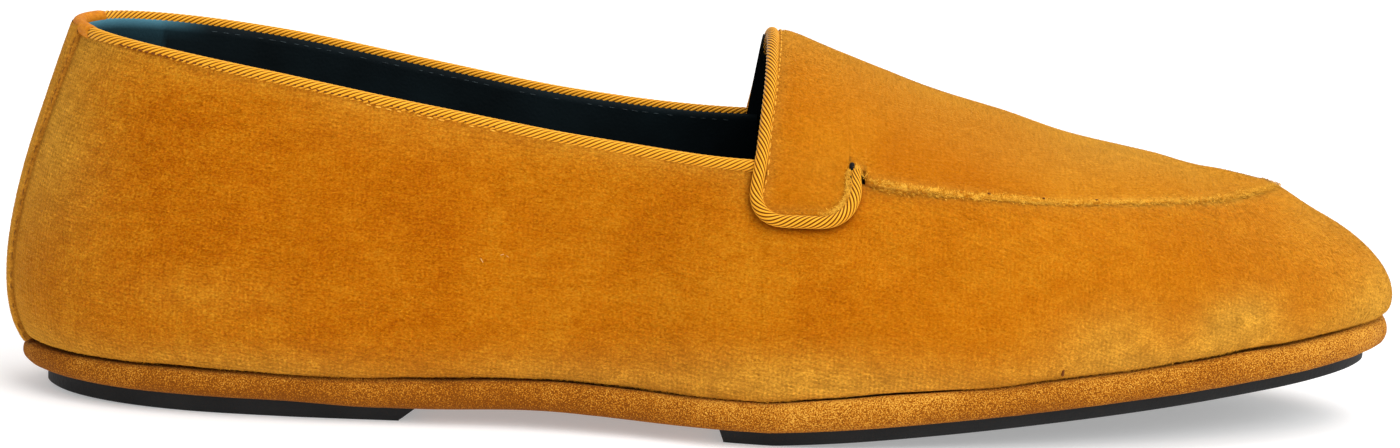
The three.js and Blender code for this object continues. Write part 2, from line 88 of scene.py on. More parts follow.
def table(columns, *rows):
    """Rows of numbers as a dictionary of named columns."""
    return dict(zip(columns.split(), np.array(rows, float).T))


# Plan of the feather edge from heel back to toe tip, in shares of the length and of the ball width
PLAN = table(
    "along outer inner",
    (0.0, 0.0, 0.0), (0.018, 0.146, 0.146), (0.058, 0.247, 0.247), (0.12, 0.312, 0.312),
    (0.2, 0.344, 0.338), (0.28, 0.352, 0.327), (0.36, 0.357, 0.316), (0.435, 0.402, 0.322),
    (0.51, 0.474, 0.358), (0.59, 0.502, 0.422), (0.67, 0.482, 0.478), (0.75, 0.434, 0.495),
    (0.825, 0.368, 0.462), (0.89, 0.283, 0.397), (0.945, 0.186, 0.303), (0.984, 0.068, 0.193),
    (1.0, -0.062, 0.062),
)

# Ridge of the last over the middle of the foot, as a share of the instep's height
RIDGE = table(
    "along height",
    (0.14, 1.39), (0.32, 1.3), (0.46, 1.15), (0.545, 1.013), (0.585, 0.953), (0.64, 0.881),
    (0.7, 0.827), (0.76, 0.76), (0.82, 0.714), (0.865, 0.681),
)

# Wall of the last: see section() for what each column does
WALLS = table(
    "along ridge rim swell rise shoulder drop",
    (0.0, 0, 0.51, 11, 0.155, 0.37, 0.446),
    (0.2, 0, 0.6, 8, 0.16, 0.29, 0.44),
    (0.38, 1, 0.52, 6, 0.17, 0.34, 0.4),
    (0.55, 3, 0, 3, 0.3, 0.72, 0),
    (0.68, 5, 0, 4, 0.35, 0.72, 0),
    (0.85, 6, 0, 5, 0.4, 0.72, 0),
    (1.0, 6.5, 0, 6.5, 0.37, 0.54, 0),
)
FAN_SHARE, FAN_PUSH = 0.3, 40

# Collar from the side, and the apron's seam as a share of the wall
COLLAR = table(
    "along height", (-0.2, 80), (0.04, 73.4), (0.17, 68.5), (0.29, 62.6), (0.4, 57.6), (0.54, 54.6)
)
SEAM = table(
    "along share",
    (0.6, 0.56), (0.66, 0.574), (0.72, 0.592), (0.79, 0.642), (0.88, 0.697), (0.94, 0.747),
    (1.0, 0.762),
)


def smooth(t):
    t = np.clip(t, 0, 1)
    return t * t * (3 - 2 * t)


def mix(a, b, t):
    return a + (b - a) * t


def unit(vectors):
    return vectors / np.maximum(np.linalg.norm(vectors, axis=-1, keepdims=True), 1e-12)


def bell(distance, width):
    """1 at no distance, falling away over a width."""
    return np.exp(-((distance / width) ** 2))


def curve(rows, key):
    """Smooth curve through a table's rows, level at each row that is a local high or low."""
    x, y = rows["along"], rows[key]
    before, after = np.r_[0, 0 : len(x) - 1], np.r_[1 : len(x), len(x) - 1]
    turns = (y[after] - y) * (y - y[before]) <= 0
    slope = np.where(turns, 0, (y[after] - y[before]) / (x[after] - x[before]))

    def at(along):
        i = np.searchsorted(x[1:-1], along)
        span = x[i + 1] - x[i]
        t = np.clip((along - x[i]) / span, 0, 1)
        rest = 1 - t
        ends = y[i] * (1 + 2 * t) * rest**2 + y[i + 1] * (3 - 2 * t) * t**2
        return ends + span * t * rest * (slope[i] * rest - slope[i + 1] * t)

    return at


ridge_share = curve(RIDGE, "height")
collar_height = curve(COLLAR, "height")
seam_share = curve(SEAM, "share")
wall_curves = {key: curve(WALLS, key) for key in WALLS if key != "along"}


def sole_rise(x, y):
    """Rise of the sole over its flat level: arch and toe spring."""
    arch = smooth(1 - np.abs(x - ARCH_MIDDLE) / ARCH_HALF_LENGTH)
    lift = np.where(y > 0, ARCH_INNER_LIFT, ARCH_OUTER_LIFT)
    spring = np.clip((x - SPRING_START) / (LENGTH - SPRING_START), 0, 1)
    return lift * arch + TOE_SPRING * spring**SPRING_POWER


def tread_height(x):
    """Height of the tread over the sole's level: it curls up at the back."""
    return HEEL_LIFT * np.clip(1 - x / HEEL_LIFT_LENGTH, 0, 1) ** 2


def pad_top(x):
    return PAD_HEIGHT + tread_height(x) + WEDGE_RISE * smooth((x - WEDGE_START) / (WEDGE_END - WEDGE_START))


def toe_setback(x):
    return SETBACK_DEPTH * smooth(1 - (LENGTH - x) / SETBACK_LENGTH)


# The feather edge as a closed ring: heel 0, outer side, toe, inner side. Places u count its rows.
OUTER_ROWS = np.stack([PLAN["along"] * LENGTH, -PLAN["outer"] * BALL_WIDTH], 1)
INNER_ROWS = np.stack([PLAN["along"] * LENGTH, PLAN["inner"] * BALL_WIDTH], 1)
RING = np.concatenate([OUTER_ROWS, INNER_ROWS[-2:0:-1]])
TOE = len(PLAN["along"]) - 1
OUTER, INNER = 1, -1  # a place on the outer side has its mirror on the inner side at minus u


def ring(u):
    u = np.mod(u, len(RING))
    i = np.floor(u).astype(int)
    t = (u - i)[..., None]
    a, b, c, d = (RING[(i + k) % len(RING)] for k in (-1, 0, 1, 2))
    return b + 0.5 * t * (c - a + t * (2 * a - 5 * b + 4 * c - d + t * (3 * (b - c) + d - a)))


def ring_offset(u, out):
    """Ring moved outwards in plan."""
    step = 0.02
    along = unit(ring(u + step) - ring(u - step))
    return ring(u) + np.stack([along[..., 1], -along[..., 0]], -1) * np.asarray(out)[..., None]


def section(u):
    """Handles of the wall's curve at places u: foot, low, high and rim."""
    x, y = np.moveaxis(ring(u), -1, 0)
    along = np.clip(x / LENGTH, 0, 1)
    wall = {key: at(along) for key, at in wall_curves.items()}
    heel = np.clip(1 - along / FAN_SHARE, 0, 1)
    toe = np.clip((along - 1 + FAN_SHARE) / FAN_SHARE, 0, 1)
    ridge_x = x + FAN_PUSH * (heel**2 - toe**2)
    ridge_z = INSTEP_HEIGHT * ridge_share(ridge_x / LENGTH)
    slope = INSTEP_HEIGHT * (ridge_share((ridge_x + 0.5) / LENGTH) - ridge_share((ridge_x - 0.5) / LENGTH))
    foot = np.stack([x, y, FEATHER + sole_rise(x, y)], -1)
    spine = np.stack([ridge_x, wall["ridge"], ridge_z], -1)
    reach = (foot - spine) * (1, 1, 0)
    height = ridge_z - foot[..., 2]
    rim = spine + reach * wall["rim"][..., None]
    low = foot + unit(reach) * wall["swell"][..., None]
    low[..., 2] += wall["rise"] * height
    high = rim + reach * wall["shoulder"][..., None]
    high[..., 2] += slope * reach[..., 0] * wall["shoulder"] - wall["drop"] * height
    return foot, low, high, rim


def last(u, s):
    """Points of the last at places u round the ring and shares s up its wall."""
    u, s = np.asarray(u, float), np.asarray(s, float)[..., None]
    foot, low, high, rim = section(u)
    rest = 1 - s
    return rest**3 * foot + 3 * rest**2 * s * low + 3 * rest * s**2 * high + s**3 * rim


def outward(u, s):
    """Directions straight out of the last."""
    step = 0.01
    s = np.clip(s, 0, 1 - 0.2 * step)
    around = last(u + step, s) - last(u - step, s)
    up = last(u, np.minimum(s + step, 1)) - last(u, np.maximum(s - step, 0))
    return unit(np.cross(around, up))


def over(u, s, height):
    """Points at a height over the last."""
    return last(u, s) + outward(u, s) * np.asarray(height, float)[..., None]


# Place u of a foot's length x on the outer side
DENSE_U = np.linspace(0, TOE, 4001)
DENSE_X = ring(DENSE_U)[:, 0]


def place_at(x):
    return np.interp(x, DENSE_X, DENSE_U)


HALVINGS = 32


def share_where(rising, shape, low=0.0):
    """Share at which a rising function of the share is zero."""
    low, high = np.full(shape, low), np.ones(shape)
    for _ in range(HALVINGS):
        middle = (low + high) / 2
        above = rising(middle) > 0
        high, low = np.where(above, middle, high), np.where(above, low, middle)
    return (low + high) / 2


def collar_z(points):
    return collar_height(points[..., 0] / LENGTH) + COLLAR_TILT * points[..., 1]


def collar_share(u, above=0.0, height=0.0):
    """Share of the wall at a distance above the collar, for a surface at a height over the last."""

    def rising(s):
        points = over(u, s, height)
        return points[..., 2] - collar_z(points) - above

    return share_where(rising, np.shape(u), low=0.2)


def throat_x(z):
    return THROAT_X + THROAT_LEAN * (z - THROAT_Z)


def apron_lift(x):
    return APRON_LIFT * (1 - smooth((x - APRON_LIFT_END) / (APRON_FLUSH_START - APRON_LIFT_END)))


# Origin of the frame on the last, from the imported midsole
BAND_BULGE = 1.1
band_low, band_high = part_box("midsole")
bulge = ring_offset(np.linspace(0, len(RING), 4001), BAND_BULGE)
ORIGIN = np.array([
    -BAND_BULGE - band_low.x / MM,
    (bulge[:, 1].min() + bulge[:, 1].max()) / 2 - (band_low.y + band_high.y) / 2 / MM,
    0,
])


def place(points):
    return (np.asarray(points, float) - ORIGIN) * MM


def evenly_round(count):
    """Places round the ring at even distances."""
    u = np.linspace(0, len(RING), 6001)
    run = run_length(ring(u), 0)
    return np.interp(np.arange(count) * run[-1] / count, run, u)


def run_length(points, axis):
    """Distance along an axis of a grid of points."""
    steps = np.linalg.norm(np.diff(points, axis=axis), axis=-1)
    start = np.zeros_like(np.take(steps, [0], axis=axis))
    return np.concatenate([start, np.cumsum(steps, axis=axis)], axis=axis)


def along_line(at, run, values):
    """Vectors along a line, at distances along it."""
    return np.stack([np.interp(at, run, values[:, k]) for k in range(3)], 1)


WAVE_COUNT = 10


def waves(points, wavelength, seed):
    """Smooth random field of about -1 to 1, with features of about that wavelength."""
    random = np.random.default_rng(seed)
    total = 0
    for _ in range(WAVE_COUNT):
        direction = random.normal(size=3)
        direction *= 2 * np.pi / wavelength / np.linalg.norm(direction) * random.uniform(0.7, 1.4)
        total = total + np.sin(points @ direction + random.uniform(0, 2 * np.pi))
    return total / np.sqrt(WAVE_COUNT)


# Meshes


def grid_faces(rows, columns, closed=False):
    """Quads of a grid; closed joins its last row to its first."""
    i = np.arange(rows if closed else rows - 1)[:, None]
    j = np.arange(columns - 1)[None, :]
    after = (i + 1) % rows
    corners = [i * columns + j, after * columns + j, after * columns + j + 1, i * columns + j + 1]
    return np.stack(np.broadcast_arrays(*corners), -1).reshape(-1, 4)


def everywhere(points, **values):
    """Named numbers at all points of a grid."""
    return {key: np.broadcast_to(value, points.shape[:-1]) for key, value in values.items()}


def piece(name, points, faces, material, slot, stands_for=None, values=None):
    """A mesh piece in the frame, riding on the shoe. values are named numbers at its points."""
    faces = np.asarray(faces)
    mesh = bpy.data.meshes.new(name)
    mesh.vertices.add(points.size // 3)
    mesh.vertices.foreach_set("co", place(points).astype(np.float32).ravel())
    mesh.loops.add(faces.size)
    mesh.loops.foreach_set("vertex_index", faces.astype(np.int32).ravel())
    mesh.polygons.add(len(faces))
    mesh.polygons.foreach_set("loop_start", np.arange(0, faces.size, faces.shape[1], dtype=np.int32))
    for key, value in everywhere(points, **(values or {})).items():
        kept = mesh.attributes.new(key, "FLOAT", "POINT")
        kept.data.foreach_set("value", value.astype(np.float32).ravel())
    mesh.update(calc_edges=True)
    mesh.validate()
    mesh.shade_smooth()
    mesh.materials.append(material)
    made = bpy.data.objects.new(name, mesh)
    bpy.context.scene.collection.objects.link(made)
    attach(made, "root")
    if stands_for:
        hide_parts(stands_for)
    return made


def sheet(name, grid, material, slot, stands_for, values=None, closed=False, flipped=False):
    """A piece whose points are a grid. flipped turns its faces over."""
    faces = grid_faces(*grid.shape[:2], closed=closed)
    if flipped:
        faces = faces[:, ::-1]
    piece(name, grid, faces, material, slot, stands_for, values)


# Materials


def linear(red, green, blue):
    """Colour from 0 to 255 as the eye sees it, in linear light with alpha."""
    share = np.array([red, green, blue]) / 255
    light = np.where(share <= 0.04045, share / 12.92, ((share + 0.055) / 1.055) ** 2.4)
    return (*light.tolist(), 1.0)


class Shader:
    """Short way to write a material's nodes."""

    def __init__(self, name, **sockets):
        self.material = bpy.data.materials.new(name)
        self.material.use_nodes = True
        self.tree = self.material.node_tree
        self.surface = self.tree.nodes["Principled BSDF"]
        self.set(self.surface, sockets)

    def set(self, node, sockets):
        for key, value in sockets.items():
            socket = node.inputs[key.replace("_", " ") if isinstance(key, str) else key]
            if isinstance(value, bpy.types.NodeSocket):
                self.tree.links.new(value, socket)
            else:
                socket.default_value = value

    def node(self, kind, sockets=None, **settings):
        made = self.tree.nodes.new("ShaderNode" + kind)
        for key, value in settings.items():
            setattr(made, key, value)
        self.set(made, sockets or {})
        return made

    def value(self, name):
        return self.node("Attribute", attribute_name=name).outputs["Fac"]

    def math(self, operation, *terms):
        return self.node("Math", dict(enumerate(terms)), operation=operation).outputs[0]

    def where(self):
        return self.node("TexCoord").outputs["Object"]

    def noise(self, scale, detail=2.0, roughness=0.5, vector=None, distortion=0.0):
        sockets = {"Vector": vector or self.where(), "Scale": scale, "Detail": detail}
        sockets |= {"Roughness": roughness, "Distortion": distortion}
        return self.node("TexNoise", sockets).outputs["Fac"]

    def blend(self, share, first, second, kind="MIX"):
        sockets = {0: share, 6: first, 7: second}
        return self.node("Mix", sockets, data_type="RGBA", blend_type=kind).outputs[2]

    def ramp(self, share, *stops):
        made = self.node("ValToRGB", {"Fac": share})
        elements = made.color_ramp.elements
        while len(elements) < len(stops):
            elements.new(0.5)
        for element, (position, colour) in zip(elements, stops):
            element.position = position
            element.color = colour
        return made.outputs["Color"]

    def threads(self, name, pitch):
        """Ridges of a weave across a named run, a little uneven, from -1 to 1."""
        wander = self.times(self.noise(260, detail=3.0, roughness=0.6), 9.0)
        turn = self.scaled(self.value(name), 2 * math.pi / pitch, wander)
        strength = self.scaled(self.noise(420, detail=2.0), 3.2, -0.7)
        return self.times(self.math("SINE", turn), strength)

    def bump(self, height, strength, distance):
        sockets = {"Height": height, "Strength": strength, "Distance": distance}
        return self.node("Bump", sockets).outputs["Normal"]

    def times(self, first, second):
        return self.math("MULTIPLY", first, second)

    def scaled(self, value, by, plus):
        return self.math("MULTIPLY_ADD", value, by, plus)

    def add(self, first, *others):
        for other in others:
            first = self.math("ADD", first, other)
        return first

    def done(self, colour, normal):
        """The finished material, with its colour and its fine relief."""
        self.set(self.surface, {"Base Color": colour, "Normal": normal})
        return self.material


VELVET_DEEP = linear(158, 76, 0)
VELVET = linear(187, 105, 5)
VELVET_BRIGHT = linear(206, 134, 24)
VELVET_OPEN = linear(195, 143, 52)
VELVET_PALE = linear(240, 178, 62)
# Pale gold of the painted sheen where the cloth is seen at a grazing angle
VELVET_PAINTED_SHEEN = linear(224, 162, 56)
VELVET_SHADE = linear(104, 36, 0)
WEAVE_ROW, WEAVE_COLUMN = 0.95, 0.93
PATCHES, FLECKS, TUFTS, GRAIN = 48, 330, 800, 3200  # features of the pile per metre
COMBED = (0.6, 1.0, 1.0)  # features are drawn out along the foot


def make_velvet(name, blades):
    """Pile seen from outside: patches that lean differently, and ground weave where the pile opens.

    Blades are shaded by the cloth's facing, kept in their points, whichever of their sides is seen."""
    shader = Shader(name, Roughness=0.9, Specular_IOR_Level=0.05, Sheen_Weight=0.22, Sheen_Roughness=0.35)
    shader.set(shader.surface, {"Sheen Tint": linear(255, 180, 74)})
    combed = shader.node("VectorMath", {0: shader.where(), 1: COMBED}, operation="MULTIPLY").outputs[0]
    patches = shader.noise(PATCHES, detail=2.5, distortion=0.6)
    flecks = shader.noise(FLECKS, detail=3.0, vector=combed)
    grain = shader.noise(GRAIN, detail=2.0, roughness=0.7, vector=combed)
    tone = shader.add(shader.scaled(patches, 0.44, -0.22), shader.scaled(flecks, 0.4, -0.2))
    tone = shader.add(tone, shader.scaled(grain, 1.4, -0.7))
    tone = shader.times(tone, shader.value("rough"))
    tone = shader.add(tone, shader.scaled(shader.value("tone"), 0.3, 0.5))
    pile = shader.ramp(tone, (0.1, VELVET_DEEP), (0.5, VELVET), (0.9, VELVET_BRIGHT))
    opened = shader.value("open")
    colour = shader.blend(shader.times(opened, 0.66), pile, VELVET_OPEN)

    tufts = shader.scaled(shader.noise(TUFTS, detail=3.0, roughness=0.6), 3.0, -0.75)
    pale = shader.times(shader.value("pale"), shader.math("MINIMUM", tufts, 1.0))
    pale = shader.math("MAXIMUM", pale, 0.0)
    speckle = shader.scaled(flecks, 0.7, shader.math("SUBTRACT", grain, 0.85))
    speckle = shader.times(speckle, opened)
    lit = shader.scaled(shader.math("MAXIMUM", speckle, 0.0), 1.6, pale)
    colour = shader.blend(lit, colour, VELVET_PALE)

    weave = shader.add(shader.threads("rise", WEAVE_ROW), shader.threads("run", WEAVE_COLUMN))
    if blades:
        kept = shader.node("Attribute", attribute_name="skin").outputs["Vector"]
        turned = {"vector_type": "NORMAL", "convert_from": "OBJECT", "convert_to": "WORLD"}
        normal = shader.node("VectorTransform", {"Vector": kept}, **turned).outputs["Vector"]
    else:
        normal = shader.bump(shader.scaled(weave, 0.1, grain), 0.5, 0.0004)
    # Painted sheen: the colour turns pale gold where the cloth is seen at a grazing angle.
    facing = shader.node("LayerWeight", {"Blend": 0.5, "Normal": normal}).outputs["Facing"]
    rim = shader.times(shader.math("POWER", facing, 2.2), 0.75)
    colour = shader.blend(rim, colour, VELVET_PAINTED_SHEEN)

    contrast = shader.times(shader.scaled(opened, 0.08, 0.05), shader.value("weave"))
    uneven = shader.scaled(weave, contrast, shader.scaled(speckle, 0.9, 1.0))
    # Painted shade deep in the pile: the cloth is darkest, and the blades are darker at their roots than at
    # their tips. The weave and the pale speckle also vary the brightness.
    depth = shader.times(shader.scaled(shader.value("tip"), 0.1, 0.92), uneven)
    colour = shader.blend(shader.value("shade"), colour, VELVET_SHADE)
    shade = shader.node("CombineColor", {0: depth, 1: depth, 2: depth}).outputs[0]
    return shader.done(shader.blend(1.0, colour, shade, "MULTIPLY"), normal)


def make_satin():
    """Twisted satin yarn: fine filaments along each strand, and painted shade that turns it dark in the
    grooves.
    """
    shader = Shader("satin_cord", Roughness=0.45, Specular_IOR_Level=0.25)
    shader.set(shader.surface, {"Specular Tint": linear(255, 190, 80)})
    along = shader.times(shader.value("along"), 0.25)
    across = shader.times(shader.value("across"), 9.0)
    vector = shader.node("CombineXYZ", {0: along, 1: across}).outputs[0]
    filaments = shader.noise(1.0, detail=3.0, roughness=0.65, vector=vector)
    stops = (0.25, linear(214, 132, 20)), (0.55, linear(246, 174, 48)), (0.8, linear(255, 206, 92))
    yarn = shader.ramp(filaments, *stops)
    # Painted shade: the colour turns dark brown in the grooves between the strands.
    groove_shade = shader.times(shader.value("groove_shade"), 3.0)
    groove_shade = shader.math("MINIMUM", groove_shade, 1.0)
    return shader.done(shader.blend(groove_shade, yarn, linear(104, 44, 0)), shader.bump(filaments, 0.35, 0.00025))


TAPE_RIB = 0.28


def make_tape():
    """Smooth satin tape with fine cross ribs."""
    shader = Shader("satin_tape", Roughness=0.6, Specular_IOR_Level=0.15)
    ribs = shader.math("SINE", shader.times(shader.value("along"), 2 * math.pi / TAPE_RIB))
    grain = shader.noise(900, detail=3.0)
    colour = shader.ramp(grain, (0.3, linear(186, 106, 4)), (0.7, linear(214, 132, 12)))
    return shader.done(colour, shader.bump(shader.scaled(ribs, 0.3, grain), 0.3, 0.0002))


SUEDE_GRAIN = 3600  # features per metre


def make_suede():
    """Short raised nap with pale flecks and rubbed dark spots."""
    shader = Shader("suede", Roughness=0.95, Specular_IOR_Level=0.1, Sheen_Weight=0.12, Sheen_Roughness=0.5)
    shader.set(shader.surface, {"Sheen Tint": linear(255, 190, 110)})
    clouds = shader.noise(110, detail=3.0)
    grain = shader.noise(SUEDE_GRAIN, detail=3.0, roughness=0.7)
    cells = shader.node("TexVoronoi", {"Vector": shader.where(), "Scale": SUEDE_GRAIN, "Randomness": 1.0})
    flecks = shader.math("SUBTRACT", 1.0, shader.times(cells.outputs["Distance"], 1.5))
    tone = shader.add(shader.scaled(grain, 1.5, -0.35), shader.scaled(clouds, 0.4, -0.17))
    tone = shader.add(tone, shader.scaled(flecks, 0.55, -0.22))
    tone = shader.add(tone, shader.times(shader.value("tone"), 0.25))
    stops = (0.2, linear(120, 63, 5)), (0.5, linear(177, 106, 18)), (0.75, linear(222, 162, 62))
    height = shader.add(grain, shader.times(flecks, 0.5))
    return shader.done(shader.ramp(tone, *stops), shader.bump(height, 0.6, 0.0003))


TREAD_PITCH = 0.0024


def make_rubber():
    """Matte black rubber, a little dusty in its pores, with a fine pimpled tread underneath."""
    shader = Shader("rubber", Roughness=0.7, Specular_IOR_Level=0.28)
    pores = shader.noise(1400, detail=3.0)
    dust = shader.noise(90, detail=4.0)
    colour = shader.ramp(dust, (0.3, linear(12, 12, 13)), (0.75, linear(25, 25, 25)))
    tread = shader.value("tread")
    for run in shader.node("SeparateXYZ", {0: shader.where()}).outputs[:2]:
        ribs = shader.math("SINE", shader.times(run, 2 * math.pi / TREAD_PITCH))
        tread = shader.times(tread, ribs)
    return shader.done(colour, shader.bump(shader.scaled(tread, 0.8, pores), 0.3, 0.0004))


def make_lining():
    """Dark lining leather, a little paler where it lines the heel, with a painted highlight in pale blue
    along its top edge at the heel.
    """
    shader = Shader("lining_leather", Roughness=0.7, Specular_IOR_Level=0.1)
    cells = shader.node("TexVoronoi", {"Vector": shader.where(), "Scale": 900.0}, feature="DISTANCE_TO_EDGE")
    grain = shader.add(cells.outputs["Distance"], shader.times(shader.noise(2600), 0.3))
    clouds = shader.noise(70, detail=3.0)
    dark = shader.ramp(clouds, (0.3, linear(9, 17, 20)), (0.7, linear(17, 28, 32)))
    # Pale blue of the heel's panel and of the painted highlight along its top edge
    pale = shader.ramp(clouds, (0.3, linear(62, 108, 124)), (0.7, linear(80, 134, 152)))
    return shader.done(shader.blend(shader.value("heel"), dark, pale), shader.bump(grain, 0.25, 0.0003))


def make_thread(name, colour, shade):
    """Twisted sewing thread."""
    shader = Shader(name, Roughness=0.6, Specular_IOR_Level=0.2)
    twist = shader.noise(4200, detail=1.0)
    return shader.done(shader.ramp(twist, (0.35, shade), (0.65, colour)), shader.bump(twist, 0.4, 0.0001))


velvet = make_velvet("velvet", blades=False)
pile = make_velvet("velvet_pile", blades=True)
satin = make_satin()
tape = make_tape()
suede = make_suede()
rubber = make_rubber()
lining = make_lining()
gold_thread = make_thread("gold_thread", linear(246, 186, 64), linear(216, 146, 34))
dull_thread = make_thread("dull_thread", linear(196, 124, 24), linear(132, 74, 6))
# Near-black for the painted shadow in the cord's holes
hole_shade = make_thread("hole_shadow", linear(14, 9, 4), linear(5, 3, 2))
navy_thread = make_thread("navy_thread", linear(56, 70, 74), linear(18, 24, 28))
brown_thread = make_thread("brown_thread", linear(122, 62, 2), linear(84, 40, 0))
olive_thread = make_thread("olive_thread", linear(150, 94, 18), linear(104, 60, 6))
lint = make_thread("lint", linear(232, 200, 140), linear(208, 164, 92))


# Path of the apron's cord
RIDGE_SAG = 0.8  # the apron's cord is pulled down where it crosses the ridge
RIDGE_SAG_FROM = 68
CORD_SHADE_WIDTH = 0.95


def evenly(path, step):
    """Path with its points at even distances, and those distances."""
    run = run_length(path, 0)
    places = np.linspace(0, run[-1], max(2, round(run[-1] / step)))
    return along_line(places, run, path), places


def lifted_at(side, x, z, height):
    """Points over the last that show at x and z from the side."""
    u = side * place_at(x)
    s = share_where(lambda share: over(u, share, height)[..., 2] - z, np.shape(u))
    return over(u, s, height)


def tab_edge(room):
    """Rounded lower edge of a tab from the side, kept at a distance outside it."""

    def corner(x, radius, start):
        turn = np.radians(np.linspace(start, start + 90, 14))
        across, up = (radius + room) * np.cos(turn), (radius + room) * np.sin(turn)
        return np.stack([x + across, TAB_BOTTOM + radius + up], 1)

    rear = corner(TAB_REAR + TAB_REAR_RADIUS, TAB_REAR_RADIUS, 180)
    front = corner(TAB_FRONT - TAB_FRONT_RADIUS, TAB_FRONT_RADIUS, 270)
    return np.concatenate([rear, front])


def apron_path():
    """Cord along the throat and round both tabs, from one tucked end to the other."""
    room = CORD_RADIUS + GAP
    halves = []
    for side in (OUTER, INNER):
        at = side * place_at(THROAT_X)
        low = share_where(lambda s: last(at, s)[..., 2] - TAB_TOP, ())
        s = np.linspace(1, low, 40)
        z = last(at, s)[:, 2]
        height = mix(room, THROAT_CORD_HEIGHT, smooth((z - TAB_TOP) / THROAT_CORD_START))
        height -= RIDGE_SAG * smooth((z - RIDGE_SAG_FROM) / 9)
        throat = over(side * place_at(throat_x(z) - room), s, height)
        edge = np.concatenate([tab_edge(room), [[TAB_FRONT + room, NOTCH_TOP - 2 * GAP]]])
        tab = lifted_at(side, edge[:, 0], edge[:, 1], room)
        halves.append(np.concatenate([throat, tab]))
    return np.concatenate([halves[0][::-1], halves[1][1:]])


def softened(path, rounds):
    """Path with its corners eased."""
    for _ in range(rounds):
        path = np.concatenate([path[:1], (path[:-2] + 2 * path[1:-1] + path[2:]) / 4, path[-1:]])
    return path


apron_line, _ = evenly(apron_path(), step=0.8)
apron_line = softened(apron_line, 6)


def cord_shade(points):
    """Shadow line that the apron's cord leaves on the cloth beside it."""
    near = (points[..., 0] > TAB_REAR - 6) & (points[..., 0] < NOTCH_FRONT + 4)
    gap = np.linalg.norm(points[near][:, None] - apron_line, axis=-1).min(1) - CORD_RADIUS
    shade = np.zeros(points.shape[:-1])
    shade[near] = bell(np.clip(gap, 0, None), CORD_SHADE_WIDTH)
    return shade


# Velvet pieces. A patch of velvet is a grid of points with its normals and its named numbers.

# Places where the pile is pressed: along the foot, up from the feather edge, half sizes in both ways,
# how far it is opened and how much darker or paler it looks
PRESSED = table(
    "x rise half_x half_rise open tone",
    (5, 48, 8, 15, 0.4, 0.55),
    (13, 66, 9, 6, 0.45, 0.9),
    (2, 14, 7, 12, -0.1, -0.35),
    (30, 61, 22, 4, 0.1, 0.4),
    (46, 42, 15, 14, 0, -0.45),
    (42, 26, 13, 5, 0, -0.35),
    (84, 34, 11, 10, 0, -0.4),
    (36, 16, 16, 5, 0.15, 0.4),
    (88, 50, 25, 4, 0.1, 0.3),
    (66, 55, 12, 4, 0.1, 0.5),
    (94, 34, 6, 8, 0, 0.35),
    (130, 48, 28, 4, 0.15, 0.5),
    (150, 44, 8, 6, 0.15, 0.5),
    (105, 31, 9, 5, 0, -0.3),
    (127, 17, 9, 6, 0, 0.3),
    (152, 6, 24, 5, 0.5, 0.6),
    (150, 28, 14, 9, 0, 0.4),
    (164, 19, 8, 6, 0, -0.3),
    (204, 26, 24, 9, 0, 0.35),
    (220, 8, 12, 6, 0.6, 0.8),
    (232, 25, 15, 8, 0, -0.1),
    (235, 8, 4, 6, 0, -0.3),
    (247, 7.5, 9, 5.5, 1.1, 1.0),
    (268, 20, 12, 14, 0.15, 0.2),
    (278, 6, 9, 7, 0.7, 0.9),
    (272, 33, 13, 9, 0.3, 0.4),
)

# Soft creases: along the foot, up from the feather edge, turn in degrees, half length, half width, depth
CREASES = table(
    "x rise turn half_length half_width depth",
    (178, 26, -35, 16, 3.5, 0.35),
    (96, 38, 62, 13, 3.0, 0.3),
    (52, 30, 85, 16, 5.0, 0.3),
    (238, 9, -12, 11, 4.0, 0.4),
    (132, 22, 20, 15, 4.0, 0.25),
    (206, 17, -20, 14, 4.0, 0.3),
)
EDGE_ROUND, EDGE_DEPTH = 1.6, 0.28
TOE_CORNER, TOE_CORNER_REACH = 0.6, 5.0
TOE_SEAM_DEPTH = 0.4
TOE_CORNER_START, TOE_SEAM_START, TOE_EASE = 225, 220, 25
TOE_HOLLOW, TOE_HOLLOW_AT, TOE_HOLLOW_REACH = 0.35, 10.0, 6.0
TOE_HOLLOW_START, TOE_HOLLOW_EASE = 235, 20
FOOT_ROUND, FOOT_DEPTH = 2.4, 1.0
WALL_SWELL, APRON_SWELL, BACKSTAY_SWELL = 0.22, 0.15, 0.1  # soft unevenness of the cloth
TUCK = 1.4  # how far an edge turns in
BACK_SHADE_WIDTH, BACK_SHADE_END = 0.9, 20
WELT_WAVE, WELT_REACH = 0.28, 5
WALL_ROWS, WALL_COLUMNS = 640, 76
APRON_TOE_ROWS, APRON_COLUMNS = 150, 48
BACKSTAY_ROWS, BACKSTAY_COLUMNS = 90, 37
VELVET_OVERLAP, LINING_OVERLAP = 1.6, 1.3  # how far up the collar's cord they reach


def pressed(x, rise):
    """How far the pile is opened, and how much darker or paler it looks."""
    opened, tone = np.zeros_like(x), np.zeros_like(x)
    for at_x, at_rise, half_x, half_rise, more_open, more_tone in zip(*PRESSED.values()):
        share = np.exp(-(((x - at_x) / half_x) ** 2) - ((rise - at_rise) / half_rise) ** 2)
        opened += more_open * share
        tone += more_tone * share
    return opened, tone


def creased(x, rise):
    """Depth of the soft creases."""
    depth = np.zeros_like(x)
    for at_x, at_rise, turn, length, width, deep in zip(*CREASES.values()):
        cos, sin = math.cos(math.radians(turn)), math.sin(math.radians(turn))
        along = (x - at_x) * cos + (rise - at_rise) * sin
        across = (rise - at_rise) * cos - (x - at_x) * sin
        depth += deep * np.exp(-((along / length) ** 2) - (across / width) ** 2)
    return depth


# Along the foot: how much the weave shows, and how uneven the pile is
WEAVE = table("x weave", (0, 1.05), (30, 1.0), (80, 0.9), (200, 0.85), (235, 0.5), (285, 0.45))
ROUGH = table(
    "x rough", (0, 1.4), (30, 1.25), (60, 1.05), (110, 0.97), (160, 0.95), (185, 0.8), (285, 0.7)
)

